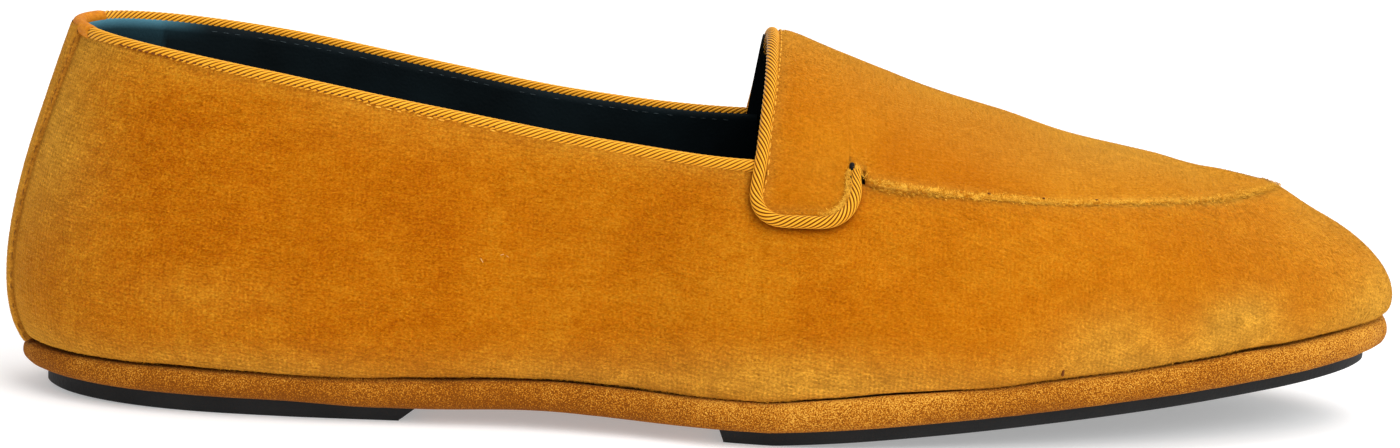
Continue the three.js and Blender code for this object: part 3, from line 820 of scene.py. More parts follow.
# Slope of the cloth's rows along the foot
ROW_SLOPE = table("x slope", (-10, 0.2), (60, 0.15), (110, 0.12), (165, 0.2), (245, 0.38), (300, 0.4))
ROW_X = np.linspace(-12, 300, 313)
ROW_DROP = np.cumsum(np.interp(ROW_X, ROW_SLOPE["x"], ROW_SLOPE["slope"]))


def row_height(points):
    """Height of a point over the cloth's rows, which sink towards the toe."""
    return points[..., 2] + np.interp(points[..., 0], ROW_X, ROW_DROP)


def toe_corner(points, distance):
    """Height of the low corner that the profile makes where the apron's seam crosses the toe."""
    toe = smooth((points[..., 0] - TOE_CORNER_START) / TOE_EASE)
    return toe * TOE_CORNER * bell(distance, TOE_CORNER_REACH)


def welt_wave(points):
    """Unevenness of the line where the upper meets the midsole, at points on the feather edge."""
    level = points * (1, 1, 0)
    return WELT_WAVE * (waves(level, 52, 61) + 0.5 * waves(level, 21, 63))


def sunk(distance, reach=EDGE_ROUND, depth=EDGE_DEPTH):
    """Height lost near an edge that rolls under."""
    return depth * np.clip(1 - distance / reach, 0, 1) ** 2


def seam_sunk(points, distance):
    """Height lost beside the apron's seam, less on the outer side of the toe."""
    outer_toe = smooth((points[..., 0] - TOE_SEAM_START) / TOE_EASE) * smooth(-points[..., 1] / 6)
    return sunk(distance) * mix(1, TOE_SEAM_DEPTH, outer_toe)


def back_strip(points):
    """How near points of the quarters are to the edges of the strip at the heel, 1 at an edge."""
    half = BACKSTAY_BOTTOM + BACKSTAY_WIDENING * (points[..., 2] - FEATHER)
    return bell(np.abs(points[..., 1]) - half, BACK_SHADE_WIDTH) * (points[..., 0] < BACK_SHADE_END)


def pale_seam(points, distance):
    """How far the pile is turned to its pale side beside the apron's seam."""
    width = mix(0.7, 1.1, smooth((points[..., 0] - 200) / 30))
    return np.clip(0.6 + 0.5 * waves(points, 4, 51), 0, 1) * bell(distance, width)


def make_wall_grid():
    """Outside of quarters and vamp, from the feather edge to the collar and the apron's seam."""
    u = evenly_round(WALL_ROWS)[:, None]
    x_foot = ring(u)[..., 0]
    under_tab = smooth((x_foot - THROAT_X) / (NOTCH_FRONT - THROAT_X))
    beside = np.where(x_foot < NOTCH_FRONT, u, place_at(THROAT_X))
    top = mix(collar_share(beside, above=VELVET_OVERLAP), seam_share(x_foot / LENGTH), under_tab)
    t = np.linspace(0, 1, WALL_COLUMNS)[None, :]
    s = top * mix(t, (1 - np.cos(np.pi * t)) / 2, 0.6)
    flat = last(u, s)
    rise = run_length(flat, 1)
    left = rise[:, -1:] - rise
    x = flat[..., 0]
    seam = smooth((x_foot - TAB_FRONT) / 6)
    height = WALL_SWELL * waves(flat, 34, 3) - creased(x, rise)
    height -= sunk(rise, FOOT_ROUND, FOOT_DEPTH) + seam * seam_sunk(flat, left)
    height += (1 - seam) * 0.3 * smooth(1 - left / 1.8)
    hollow = TOE_HOLLOW * bell(left - TOE_HOLLOW_AT, TOE_HOLLOW_REACH)
    height += toe_corner(flat, left) - hollow * smooth((x - TOE_HOLLOW_START) / TOE_HOLLOW_EASE)
    normal = outward(u, s)
    points = flat + normal * height[..., None]
    points[..., 2] += welt_wave(flat[:, :1]) * np.exp(-rise / WELT_REACH)
    opened, tone = pressed(x, rise)
    strip = 0.72 + 0.25 * waves(flat, 60, 5)
    opened += strip * bell(rise, 5.5) + 0.25 * bell(left, 2.5)
    opened += 0.45 * bell(x - 2, 13) * mix(0.4, 1, smooth((rise - 15) / 30))
    shade = cord_shade(points) + 0.9 * (1 - seam) * bell(left, 0.7) + 0.5 * back_strip(flat)
    values = everywhere(
        points,
        open=np.clip(opened, 0, 1),
        tone=np.clip(tone, -1, 1),
        rise=row_height(flat),
        run=run_length(flat[:, :1], 0),
        pale=seam * pale_seam(flat, left),
        rough=np.interp(x, *ROUGH.values()) + 0.25 * np.clip(opened, 0, 1),
        weave=np.interp(x, *WEAVE.values()),
        shade=np.clip(shade, 0, 1),
    )
    hidden = under_tab * (1 - seam)
    return {"points": points, "normal": normal, "values": values, "hidden": hidden, "left": left}


def tucked(grid):
    """Points and values of a grid with a row added at each end that turns in."""
    points, normal = grid["points"], grid["normal"]
    low = points[:, :1] - TUCK * normal[:, :1] - (0, 0, 0.2)
    high = points[:, -1:] - TUCK * normal[:, -1:] + (0, 0, 0.1)
    values = {k: np.concatenate([v[:, :1], v, v[:, -1:]], 1) for k, v in grid["values"].items()}
    return np.concatenate([low, points, high], 1), values


wall = make_wall_grid()
points, values = tucked(wall)
sheet("upper_velvet", points, velvet, "velvet", "upper", values, closed=True)


def corner_rise(past, radius):
    """Rise of a rounded corner at a distance past its start."""
    return radius - np.sqrt(radius**2 - np.clip(past, 0, radius) ** 2)


def tab_low(x):
    """Lower edge of the apron behind the seam, from the side."""
    rear = corner_rise(TAB_REAR + TAB_REAR_RADIUS - x, TAB_REAR_RADIUS)
    front = corner_rise(x - TAB_FRONT + TAB_FRONT_RADIUS, TAB_FRONT_RADIUS)
    return np.where(x > TAB_FRONT, NOTCH_TOP, TAB_BOTTOM + rear + front)


def rear_x(z):
    """Rear edge of the apron: the throat, and below it the tab's."""
    below = mix(TAB_REAR, throat_x(TAB_TOP), np.clip((z - TAB_BOTTOM - TAB_REAR_RADIUS) / 4, 0, 1))
    return np.where(z > TAB_TOP, throat_x(z), below)


APRON_OVERLAP = 0.5  # the apron's edge reaches this far to its cord at the tabs
THROAT_OVERLAP = 0.9  # and this far over it at the throat


def make_apron_half(side, x_rows, t):
    """Apron on one side of the ridge: rows from the throat to the toe, columns from its edge upwards."""
    rows = x_rows[:, None]
    back = rows - TAB_REAR
    u = place_at(rows)
    lift = apron_lift(rows)
    edge_z = tab_low(rows) - APRON_OVERLAP
    tab = share_where(lambda s: over(side * u, s, lift)[..., 2] - edge_z, u.shape)
    s = mix(np.where(rows < NOTCH_FRONT, tab, seam_share(rows / LENGTH)), 1, t[None, :])
    z = over(side * u, s, lift)[..., 2]
    reach = mix(APRON_OVERLAP, THROAT_OVERLAP, smooth((z - TAB_TOP) / THROAT_CORD_START))
    lean = (rear_x(z) - TAB_REAR) * (1 - smooth(back / 22)) - reach * (1 - smooth(back / 6))
    u = np.where(rows > APRON_FLUSH_START, u, place_at(rows + lean))
    flat = last(side * u, s)
    up = run_length(flat, 1)
    lift = apron_lift(flat[..., 0])
    edge = np.minimum(up, back)
    at_throat = smooth((flat[..., 2] - TAB_TOP) / 8)
    at_ridge = smooth((flat[..., 2] - 66) / 8)
    rolled = 0.15 * np.clip(1 - edge / 1.8, 0, 1) ** 2
    rolled = rolled + 0.35 * at_throat * np.clip(1 - back / 2.2, 0, 1) ** 2
    rolled += 0.35 * at_ridge * np.clip(1 - back / 6, 0, 1) ** 2
    height = lift * (1 - rolled) - (1 - lift / APRON_LIFT) * seam_sunk(flat, up)
    height += APRON_SWELL * waves(flat, 30, 11) * np.clip(edge / 6, 0, 1)
    height += toe_corner(flat, up)
    normal = outward(side * u, s)
    points = flat + normal * height[..., None]
    return {"points": points, "normal": normal, "up": up, "back": back + 0 * up, "flat": flat}


def make_apron_grid():
    """Both halves of the apron, its rows closest together at the tabs."""
    tab = TAB_REAR + np.r_[0, 0.12, 0.3, 0.55, 0.9, np.linspace(1.3, 9, 18)]
    front = np.linspace(TAB_FRONT - TAB_FRONT_RADIUS, TAB_FRONT, 14)
    corner = TAB_FRONT - TAB_FRONT_RADIUS * (1 - np.sin(np.linspace(0, np.pi / 2, 16)))
    notch = np.r_[TAB_FRONT + np.r_[0.02, 1.2, 2.4], NOTCH_FRONT + np.r_[-0.02, 0.02]]
    toe_u = np.linspace(place_at(NOTCH_FRONT + 0.8), TOE, APRON_TOE_ROWS)
    x_rows = np.unique(np.r_[tab[tab < front[0]], corner, notch, np.interp(toe_u, DENSE_U, DENSE_X)])
    t = np.linspace(0, 1, APRON_COLUMNS) ** 1.5
    outer = make_apron_half(OUTER, x_rows, t)
    inner = make_apron_half(INNER, x_rows, t)
    joined = {k: np.concatenate([outer[k], inner[k][:, -2::-1]], 1) for k in outer}
    edge = np.minimum(joined["up"], joined["back"])
    flat = joined["flat"]
    x, _, z = np.moveaxis(flat, -1, 0)
    opened = 0.4 * bell(edge, 1.8) + 0.12 * np.clip(waves(flat, 40, 21), 0, 1)
    opened += 0.5 * bell(x - 220, 16) * smooth(joined["up"] / 20)
    tone = 0.55 * smooth((x - 195) / 30) + 0.4 * smooth((66 - z) / 8) * smooth((176 - x) / 8) - 0.15
    # Painted highlight: paler towards the ridge, the top of the apron that faces the light.
    to_ridge = np.r_[t, t[-2::-1]]
    tone += 0.5 * smooth((to_ridge - 0.5) / 0.5) * smooth((205 - x) / 20)
    values = everywhere(
        flat,
        open=opened,
        tone=tone + 0.2 * waves(flat, 30, 23),
        rise=run_length(flat, 1),
        run=x,
        pale=smooth((x - NOTCH_FRONT) / 3) * pale_seam(flat, joined["up"]),
        rough=0.36 - 0.12 * to_ridge + 0.35 * bell(edge, 5),
        weave=0.3,
    )
    return joined | {"values": values, "edge": edge, "x_rows": x_rows}


apron = make_apron_grid()
points, values = tucked(apron)
skirt = points[:1] - TUCK * apron["normal"][:1, np.r_[0, 0 : apron["points"].shape[1], -1]]
points = np.concatenate([skirt, points])
values = {k: np.concatenate([v[:1], v]) for k, v in values.items()}
sheet("apron_velvet", points, velvet, "velvet", "apron", values, flipped=True)


BACKSTAY_FOOT = 0.012  # share of the wall where the strip begins


def make_backstay_grid():
    """Strip over the seam at the back of the heel, from side to side and from the sole to the collar."""
    rows = np.linspace(0, 1, BACKSTAY_ROWS)[:, None]
    across = np.linspace(-1, 1, BACKSTAY_COLUMNS)[None, :]
    s = mix(BACKSTAY_FOOT, collar_share(0.0, above=VELVET_OVERLAP), rows)
    z = last(np.zeros_like(s), s)[..., 2]
    half = BACKSTAY_BOTTOM + BACKSTAY_WIDENING * (z - FEATHER)
    y = across * half
    s = s + 0 * y
    u = -share_where(lambda v: last(mix(-3.0, 3.0, 1 - v), s)[..., 1] - y, np.shape(y)) * 6 + 3
    flat = last(u, s)
    normal = outward(u, s)
    edge = (1 - np.abs(across)) * half
    round_edge = 1 - np.clip(1 - edge / 1.3, 0, 1) ** 2.2
    height = BACKSTAY_HEIGHT * round_edge + BACKSTAY_SWELL * waves(flat, 16, 31)
    values = everywhere(
        flat,
        open=0.45 + 0.3 * bell(edge, 1.5),
        tone=0.2 * waves(flat, 14, 33),
        rise=flat[..., 2],
        run=flat[..., 1],
        rough=1.0,
        weave=0.9,
        shade=0.4 * bell(edge, 0.6),
    )
    return {"points": flat + normal * height[..., None], "normal": normal, "values": values}


backstay = make_backstay_grid()
points, values = tucked(backstay)
sheet("backstay_velvet", points, velvet, "velvet", "backstay", values)


# Nap: one slim blade for each tuft of the pile, combed flat towards the heel
NAP_LENGTH, NAP_WIDTH = 0.6, 0.13
NAP_PER_MM2 = 10
NAP_LAY = (-1.0, 0.0, -0.25)
NAP_ROOT, NAP_TIP = 0.03, 0.1  # heights of a blade's ends over the cloth
NAP_SPREAD, APRON_NAP_SPREAD = 0.22, 0.13  # how far the shading of the blades differs from the cloth's
# Corners nearer the roots get painted shade in the pile's material.
NAP_TIPS = (0.25, 0.25, 1.0)  # how near each corner of a blade is to the tip of the pile
NAP_CHART = ((0.15, 0.1), (0.85, 0.1), (0.5, 0.9))  # corners of a blade in its cell of the chart


def sow(name, corners, normals, slot, values):
    """Piece of loose blades, three corners each, shaded as if they faced along these normals."""
    faces = np.arange(3 * len(corners)).reshape(-1, 3)
    sown = piece(name, corners, faces, pile, slot, None, values)
    normals = np.repeat(normals, 3, axis=0)
    kept = sown.data.attributes.new("skin", "FLOAT_VECTOR", "POINT")
    kept.data.foreach_set("vector", normals.astype(np.float32).ravel())
    sown.data.normals_split_custom_set_from_vertices(normals)
    return sown


def make_nap(name, grid, weight, seed, spread=NAP_SPREAD):
    """Blades sown over a grid of velvet. weight, from 0 to 1 at its points, thins them out."""
    random = np.random.default_rng(seed)
    points, normal = grid["points"], grid["normal"]
    faces = grid_faces(*points.shape[:2])
    corners = points.reshape(-1, 3)[faces]
    across = np.cross(corners[:, 2] - corners[:, 0], corners[:, 3] - corners[:, 1])
    area = np.linalg.norm(across, axis=1) / 2 * weight.reshape(-1)[faces].mean(1)
    total = np.cumsum(area)
    count = int(NAP_PER_MM2 * total[-1])
    chosen = np.searchsorted(total, random.uniform(0, total[-1], count))
    a, b = random.uniform(size=(2, count, 1))
    shares = np.stack([(1 - a) * (1 - b), a * (1 - b), a * b, (1 - a) * b], 1)

    def at(values):
        kept = values.reshape(len(points.reshape(-1, 3)), -1)[faces[chosen]]
        return (kept * shares).sum(1)

    root, up = at(points), unit(at(normal))
    lay = unit(NAP_LAY - up * (up @ np.array(NAP_LAY))[:, None])
    swirl = 0.4 * waves(root, 46, seed + 1) + 0.3 * waves(root, 15, seed + 2)
    swirl += random.normal(0, 0.35, count)
    blade = lay * np.cos(swirl)[:, None] + np.cross(up, lay) * np.sin(swirl)[:, None]
    side = np.cross(blade, up) * NAP_WIDTH * random.uniform(0.3, 0.65, count)[:, None]
    tip = root + blade * NAP_LENGTH * random.uniform(0.7, 1.25, count)[:, None]
    tip = tip + up * NAP_TIP * random.uniform(0.5, 1.2, count)[:, None]
    foot = root + up * NAP_ROOT
    made = np.stack([foot + side, foot - side, tip], 1)
    each = {k: at(v) for k, v in grid["values"].items()}
    each["tone"] = each["tone"] + random.normal(0, 0.5, (count, 1)) * each["rough"]
    each["tip"] = NAP_TIPS
    sown = sow(name, made, unit(up + random.normal(0, spread, (count, 3))), "velvet", each)
    cells = math.ceil(math.sqrt(count))
    cell = np.stack([np.arange(count) % cells, np.arange(count) // cells], 1)
    chart = sown.data.uv_layers.new(name="OFBake")
    chart.data.foreach_set("uv", ((cell[:, None] + NAP_CHART) / cells).astype(np.float32).ravel())


def part_of(grid, rows):
    """Some rows of a closed grid, in order."""
    kept = {"points": grid["points"][rows], "normal": grid["normal"][rows]}
    return kept | {"values": {k: v[rows] for k, v in grid["values"].items()}}


open_wall = 1 - 0.98 * smooth(wall["hidden"] * 3) * (wall["points"][..., 2] > TAB_BOTTOM)
x_wall = wall["points"][:, 0, 0]
rows_all = np.arange(len(x_wall))
vamp_rows = rows_all[x_wall > THROAT_X]
quarter_rows = np.roll(rows_all, len(rows_all) // 2)
quarter_rows = quarter_rows[x_wall[quarter_rows] <= THROAT_X + 1.5]
make_nap("vamp_nap", part_of(wall, vamp_rows), open_wall[vamp_rows], 101)
make_nap("quarter_nap", part_of(wall, quarter_rows), open_wall[quarter_rows], 103)
make_nap("apron_nap", apron, np.clip(apron["edge"] / 0.8, 0.15, 1), 107, spread=APRON_NAP_SPREAD)
make_nap("backstay_nap", backstay, np.ones(backstay["points"].shape[:2]), 109)


# Lining
LIP_OUT, LIP_UP, LINING_FOOT = 0.9, 0.25, 4
QUARTER_LINING_ROWS, QUARTER_LINING_COLUMNS = 330, 44
VAMP_LINING_ROWS, VAMP_LINING_COLUMNS = 110, 60


def make_quarter_lining():
    """Inside of the quarters, from a foot under the insole to a lip over the wall."""
    u = np.linspace(place_at(THROAT_X), -place_at(THROAT_X), QUARTER_LINING_ROWS)[:, None]
    t = np.linspace(0, 1, QUARTER_LINING_COLUMNS)[None, :]
    s = collar_share(u, above=LINING_OVERLAP, height=-WALL) * t
    points = over(u, s, -WALL)
    lip = points[:, -1:] + outward(u, s[:, -1:]) * LIP_OUT + (0, 0, LIP_UP)
    foot = points[:, :1].copy()
    foot[..., :2] -= LINING_FOOT * (ring_offset(u, 1) - ring(u))
    return np.concatenate([foot, points, lip], 1)


HEEL_LINING_END = 25.5  # the heel's own panel of lining is a little paler
points = make_quarter_lining()
under_collar = np.clip(collar_z(points) + 0.4 - points[..., 2], 0, None)
heel_panel = smooth((HEEL_LINING_END - points[..., 0]) / 0.6)
# Painted highlight: pale blue along the top edge of the lining at the heel, just under the collar, fading
# towards the front.
lit_edge = 1 - smooth((points[..., 0] - 22) / 14)
heel = 0.12 * heel_panel + 0.85 * lit_edge * bell(under_collar, 0.8)
sheet("quarter_lining", points, lining, "lining", "upper", {"heel": heel})


# The lining's edge behind the throat, inside the cord: low down and at the ridge
THROAT_TURN = {OUTER: (2.3, 2.0), INNER: (3.1, 3.0)}


def make_vamp_lining():
    """Inside of the vamp, from the throat to the toe."""
    u_rows = np.linspace(place_at(THROAT_X), TOE, VAMP_LINING_ROWS)
    x_rows = np.interp(u_rows, DENSE_U, DENSE_X)[:, None]
    t = np.linspace(0, 1, VAMP_LINING_COLUMNS)[None, :]
    halves = []
    for side in (OUTER, INNER):
        u = place_at(x_rows)
        z = last(side * u, t)[..., 2]
        turn = mix(*THROAT_TURN[side], smooth((z - TAB_TOP - 4) / 16))
        edge = np.clip(rear_x(z) - THROAT_X, 0, None) - turn * smooth((z - TAB_TOP + 3) / 3)
        near = 1 - smooth((x_rows - THROAT_X) / 22)
        u = np.where(x_rows > APRON_FLUSH_START, u, place_at(x_rows + edge * near))
        halves.append(over(side * u, t + 0 * u, 0.7 * near**8 - WALL))
    return np.concatenate([halves[0], halves[1][:, -2::-1]], 1)


sheet("vamp_lining", make_vamp_lining(), lining, "lining", "upper", flipped=True)


# Sole


def across_ring(out, height, rows, columns, crown=0.0):
    """Grid from the outer to the inner side at an offset from the feather edge and a height at each x."""
    u = np.linspace(0, TOE, rows)
    t = np.linspace(0, 1, columns)[None, :, None]
    ends = []
    for side in (OUTER, INNER):
        x, y = ring(side * u).T
        edge = ring_offset(side * u, out)
        ends.append(np.column_stack([edge, height(x) + sole_rise(x, y)]))
    grid = mix(ends[0][:, None], ends[1][:, None], t)
    grid[..., 2] += crown * 4 * t[..., 0] * (1 - t[..., 0])
    return grid


BAND_PROFILE = table(
    "out up",
    (-7.0, -0.02), (-2.6, -0.01), (-1.4, 0.0), (-0.5, 0.035), (0.3, 0.12), (0.85, 0.26),
    (1.1, 0.42), (1.1, 0.56), (0.98, 0.7), (0.7, 0.83), (0.25, 0.94), (-0.5, 1.0), (-1.6, 1.02),
    (-6.0, 1.02),
)


BAND_ROWS, BAND_COLUMNS = 600, 46


def make_band():
    """Side of the suede-wrapped midsole."""
    u = evenly_round(BAND_ROWS)
    rows = np.linspace(0, len(BAND_PROFILE["out"]) - 1, BAND_COLUMNS)
    index = np.arange(len(BAND_PROFILE["out"]))
    out, up = (np.interp(rows, index, BAND_PROFILE[key]) for key in ("out", "up"))
    x, y = ring(u).T
    edge = ring_offset(u[:, None] + 0 * out, out - toe_setback(x)[:, None])
    z = mix(pad_top(x)[:, None] + GAP, FEATHER - GAP, up) + sole_rise(x, y)[:, None]
    foot = np.column_stack([x, y, 0 * x])
    z = z + welt_wave(foot)[:, None] * smooth((up - 0.4) / 0.6) * smooth((out + 2.2) / 1.4)
    points = np.dstack([edge, z])
    side = np.clip(out + 1.5, 0, 1)[None, :, None]
    swell = 0.16 * waves(points, 26, 41) + 0.07 * waves(points, 6, 43)
    points[..., :2] += unit(ring_offset(u, 1) - ring(u))[:, None] * (swell[..., None] * side)
    return points


SUEDE_TONE = table(
    "x tone", (0, 0), (60, -0.15), (110, -0.3), (150, 0.4), (170, 0.65), (200, 0.1), (240, 0.05), (275, 0.8)
)


def suede_tone_and_light(points):
    """Paler along the ball and at the toe; painted light makes it paler at its top and painted shade darker
    towards its lower edge.
    """
    x, y, z = np.moveaxis(points, -1, 0)
    up = (z - sole_rise(x, y) - pad_top(x)) / BAND_HEIGHT
    # Painted light and shade: paler at the top of the band, darker towards its lower edge and under it.
    return np.interp(x, *SUEDE_TONE.values()) + mix(-0.55, 0.35, np.clip(up, 0, 1))


points = make_band()
sheet("midsole_suede", points, suede, "suede", "midsole", {"tone": suede_tone_and_light(points)}, closed=True)
points = across_ring(-2.4, lambda x: pad_top(x) + GAP - 0.02, rows=180, columns=40)
sheet("midsole_base", points, suede, "suede", "midsole", {"tone": suede_tone_and_light(points)})

insole_top = FEATHER + INSOLE_HEIGHT
points = across_ring(-WALL - GAP, lambda x: insole_top + 0 * x, rows=200, columns=48, crown=-0.5)
sheet("insole_sock", points, lining, "lining", "insole", flipped=True)


# Outline of a pad from below: distance out, share of its height, share of the tread's place
PAD_PROFILE = (
    (-12.0, 0, 1), (-1.2, 0, 1), (-0.45, 0.02, 1), (-0.1, 0.1, 1), (0.0, 0.25, 0.8), (PAD_FLARE, 1, 0)
)
PAD_ROWS = 150


def make_pad(x_from, x_to, tread_from, tread_to):
    """Rubber pad as sections across the sole, from the tread up its flared side to its top."""
    share = np.linspace(0, 1, PAD_ROWS)
    u = np.interp(mix(x_from, x_to, (1 - np.cos(np.pi * share)) / 2), DENSE_X, DENSE_U)
    x_top, x_tread = mix(x_from, x_to, share), mix(tread_from, tread_to, share)
    rims = [ring_offset(side * u, -PAD_INSET) for side in (OUTER, INNER)]
    middle = (rims[0] + rims[1]) / 2
    loops = []
    for side, rim in ((OUTER, rims[0]), (INNER, rims[1])):
        half = np.linalg.norm(middle - rim, axis=1)[:, None]
        inward = (middle - rim) / np.maximum(half, 1e-9)
        x, y = ring(side * u).T
        for out, height, tread in PAD_PROFILE if side == INNER else PAD_PROFILE[::-1]:
            edge = rim + inward * np.minimum(-out, 0.95 * half)
            edge[:, 0] += tread * (x_tread - x_top)
            z = mix(tread_height(x), pad_top(x), height) + sole_rise(x, y)
            loops.append(np.column_stack([edge, z]))
    under = np.array([height < 0.01 for _, height, _ in PAD_PROFILE], float)
    return np.stack(loops, 1), np.r_[under[::-1], under]


for name, node, limits in (
    ("heel_tread", "heel_pad", (0.0, HEEL_PAD_TOP, 0.0, HEEL_PAD_TREAD)),
    ("forefoot_tread", "forefoot_pad", (FOREFOOT_PAD_TOP, LENGTH, FOREFOOT_PAD_TREAD, LENGTH)),
):
    points, under = make_pad(*limits)
    faces = grid_faces(*points.shape[:2])
    rows, columns = points.shape[:2]
    lids = []
    for row in (0, rows - 1):
        for k in range(columns // 2 - 1):
            lids.append([row * columns + c for c in (k, k + 1, columns - k - 2, columns - k - 1)])
    piece(name, points, np.concatenate([faces, lids]), rubber, "rubber", node, {"tread": under})


# Cords


def make_tube(name, path, turn, radius, material, node, values):
    """Tube with its points at turns round a path and radii from it.

    The turns start from a direction that is carried along the path without twist."""
    tangent = unit(np.gradient(path, axis=0))
    first = np.zeros_like(path)
    first[0] = unit(np.cross(tangent[0], np.cross((0.2, 0.1, 1), tangent[0])))
    for i in range(1, len(path)):
        first[i] = unit(first[i - 1] - tangent[i] * (first[i - 1] @ tangent[i]))
    second = np.cross(tangent, first)
    out = first[:, None] * np.cos(turn)[..., None] + second[:, None] * np.sin(turn)[..., None]
    points = path[:, None] + out * radius[..., None]
    rows, columns = points.shape[:2]
    i, j = np.arange(rows - 1)[:, None] * columns, np.arange(columns)[None, :]
    after = (j + 1) % columns
    corners = np.broadcast_arrays(i + j, i + after, i + columns + after, i + columns + j)
    piece(name, points, np.stack(corners, -1).reshape(-1, 4), material, "cord", node, values)


STRANDS, STRAND_POINTS, LAY_LENGTH, GROOVE = 9, 8, 11.7, 0.42


def make_rope(name, path, radius, node, dark):
    """Twisted cord: its points follow the strands, so that each strand is smooth."""
    path, run = evenly(path, step=0.5)
    across = np.tile(np.arange(STRAND_POINTS) / STRAND_POINTS, STRANDS)
    bow = np.sqrt(np.clip(1 - (2 * across - 1) ** 2 * 0.97, 0, 1))
    count = STRANDS * STRAND_POINTS
    turn = 2 * np.pi * (np.arange(count) / count - run[:, None] / LAY_LENGTH)
    along = run[:, None] * 1.3 + 37 * np.floor(np.arange(count) / STRAND_POINTS)
    # Painted shade in the grooves between the strands, as strong as dark.
    values = {"along": along, "across": across, "groove_shade": dark * (1 - bow)}
    make_tube(name, path, turn, radius(run / run[-1])[:, None] - GROOVE * (1 - bow), satin, node, values)


CORD_TUCK = 2.2  # the collar's cord runs on under the apron's


def collar_path():
    """Cord along the top of the wall, from tab to tab round the heel."""
    end = place_at(COLLAR_CORD_END + CORD_TUCK)
    u = np.linspace(end, -end, 900)
    path = over(u, collar_share(u), -WALL / 2)
    path[:, 2] = collar_z(path) + GAP + CORD_RADIUS
    return path


def even_cord(t):
    return np.full(t.shape, CORD_RADIUS)


def tapered_cord(t):
    """Radius of the apron's cord, thinner at its tucked ends."""
    return CORD_RADIUS * (1.02 - 0.3 * smooth((np.abs(2 * t - 1) - 0.92) / 0.08))


collar_line, _ = evenly(collar_path(), step=1.0)
make_rope("collar_rope", collar_line, even_cord, "collar_cord", dark=0.6)
make_rope("apron_rope", apron_line, tapered_cord, "apron_cord", dark=0.9)

TAPE_HALF, TAPE_THICKNESS, TAPE_SIDES = 12, 0.14, 32


def make_heel_tape():
    """Tape wound over the collar's cord at the heel."""
    run = run_length(collar_line, 0)
    path, run = evenly(collar_line[np.abs(run - run[-1] / 2) < TAPE_HALF], step=0.4)
    turn = np.linspace(0, 2 * np.pi, TAPE_SIDES + 1)[None, :-1]
    end = np.clip(np.minimum(run, run[-1] - run) / 1.2, 0, 1)
    radius = CORD_RADIUS + 0.02 + TAPE_THICKNESS * np.sqrt(end)
    make_tube("heel_tape", path, turn, radius[:, None], tape, "collar_cord", {"along": run[:, None]})


make_heel_tape()


# Stitches, fuzz and loose threads


def dashes(name, centre, along, up, length, radius, material, slot, dip=0.15):
    """Short threads that come up out of the cloth and go back into it."""
    t = np.linspace(-1, 1, 7)[None, :, None, None]
    turn = np.linspace(0, 2 * np.pi, 9)[None, None, :, None]
    along, up = unit(along), unit(up)
    aside = np.cross(along, up)
    centre, along, up, aside = (v[:, None, None, :] for v in (centre, along, up, aside))
    length = np.broadcast_to(length, (len(centre),))[:, None, None, None]
    thick = radius * np.sqrt(np.clip(1.02 - t**4, 0, 1))
    points = centre + along * t * length / 2 - up * dip * t**2
    points = points + (up * np.cos(turn) + aside * np.sin(turn)) * thick
    count, rings, sides = points.shape[:3]
    faces = grid_faces(rings, sides)[None] + rings * sides * np.arange(count)[:, None, None]
    piece(name, points, faces.reshape(-1, 4), material, slot)


# Rows of stitches: distance from one to the next, length, radius and height, share of them that shows, seed
STITCHES = {
    "throat_stitches": (2.0, 1.3, 0.15, 0.25, 1.0, 201),
    "tab_stitches": (2.2, 1.0, 0.1, 0.1, 0.7, 203),
    "collar_stitches": (1.5, 0.9, 0.17, 0.2, 0.85, 205),
    "collar_tufts": (2.1, 1.2, 0.15, 0.14, 0.6, 206),
    "lining_stitches": (2.4, 1.7, 0.11, 0.0, 0.8, 207),
    "seam_stitches": (2.3, 0.8, 0.19, 0.45, 0.35, 209),
    "backstay_stitches": (2.2, 1.6, 0.09, 0.02, 0.9, 211),
}


def sew(name, lines, material, slot):
    """Rows of dashes along lines of points and normals."""
    pitch, length, radius, height, kept, seed = STITCHES[name]
    random = np.random.default_rng(seed)
    centres, alongs, ups = [], [], []
    for line, normal in lines:
        run = run_length(line, 0)
        count = max(2, round(run[-1] / pitch))
        at = (np.arange(count) + 0.5) * run[-1] / count + random.normal(0, 0.06 * pitch, count)
        at = at[random.uniform(size=count) < kept]
        centre, ahead = along_line(at, run, line), along_line(at + 0.3, run, line)
        up = along_line(at, run, normal)
        centres.append(centre + up * height)
        alongs.append(ahead - centre + random.normal(0, 0.02, centre.shape))
        ups.append(up)
    centre = np.concatenate(centres)
    lengths = length * random.uniform(0.8, 1.15, len(centre))
    dashes(name, centre, np.concatenate(alongs), np.concatenate(ups), lengths, radius, material, slot)


def line_at(points, distance, wanted):
    """One point in each row of a grid, where a rising distance has a wanted value."""
    share = np.array([np.interp(wanted, row, np.arange(len(row))) for row in distance])
    low = np.clip(np.floor(share).astype(int), 0, points.shape[1] - 2)
    rows = np.arange(len(points))
    return mix(points[rows, low], points[rows, low + 1], (share - low)[:, None])


# Stitches beside the throat's cord, round the tabs and under the collar
TAB_STITCH_UP, COLLAR_STITCH_DOWN, TUFT_DOWN = 0.6, 0.35, 1.1
COLLAR_STITCH_START, TUFT_START, TUFT_END = 14, 64, 96
throat_row = int(np.argmin(np.abs(apron["x_rows"] - TAB_REAR - 0.4)))
sew("throat_stitches", [(apron["points"][throat_row], apron["normal"][throat_row])], gold_thread, "cord")

tab_rows = (apron["x_rows"] > TAB_REAR + 1.2) & (apron["x_rows"] < TAB_FRONT - 0.6)
tab_lines = []
for columns in (slice(APRON_COLUMNS), slice(None, APRON_COLUMNS - 2, -1)):
    tab = {key: apron[key][tab_rows][:, columns] for key in ("points", "normal", "up")}
    tab_lines.append([line_at(tab[key], tab["up"], TAB_STITCH_UP) for key in ("points", "normal")])
sew("tab_stitches", tab_lines, dull_thread, "cord")


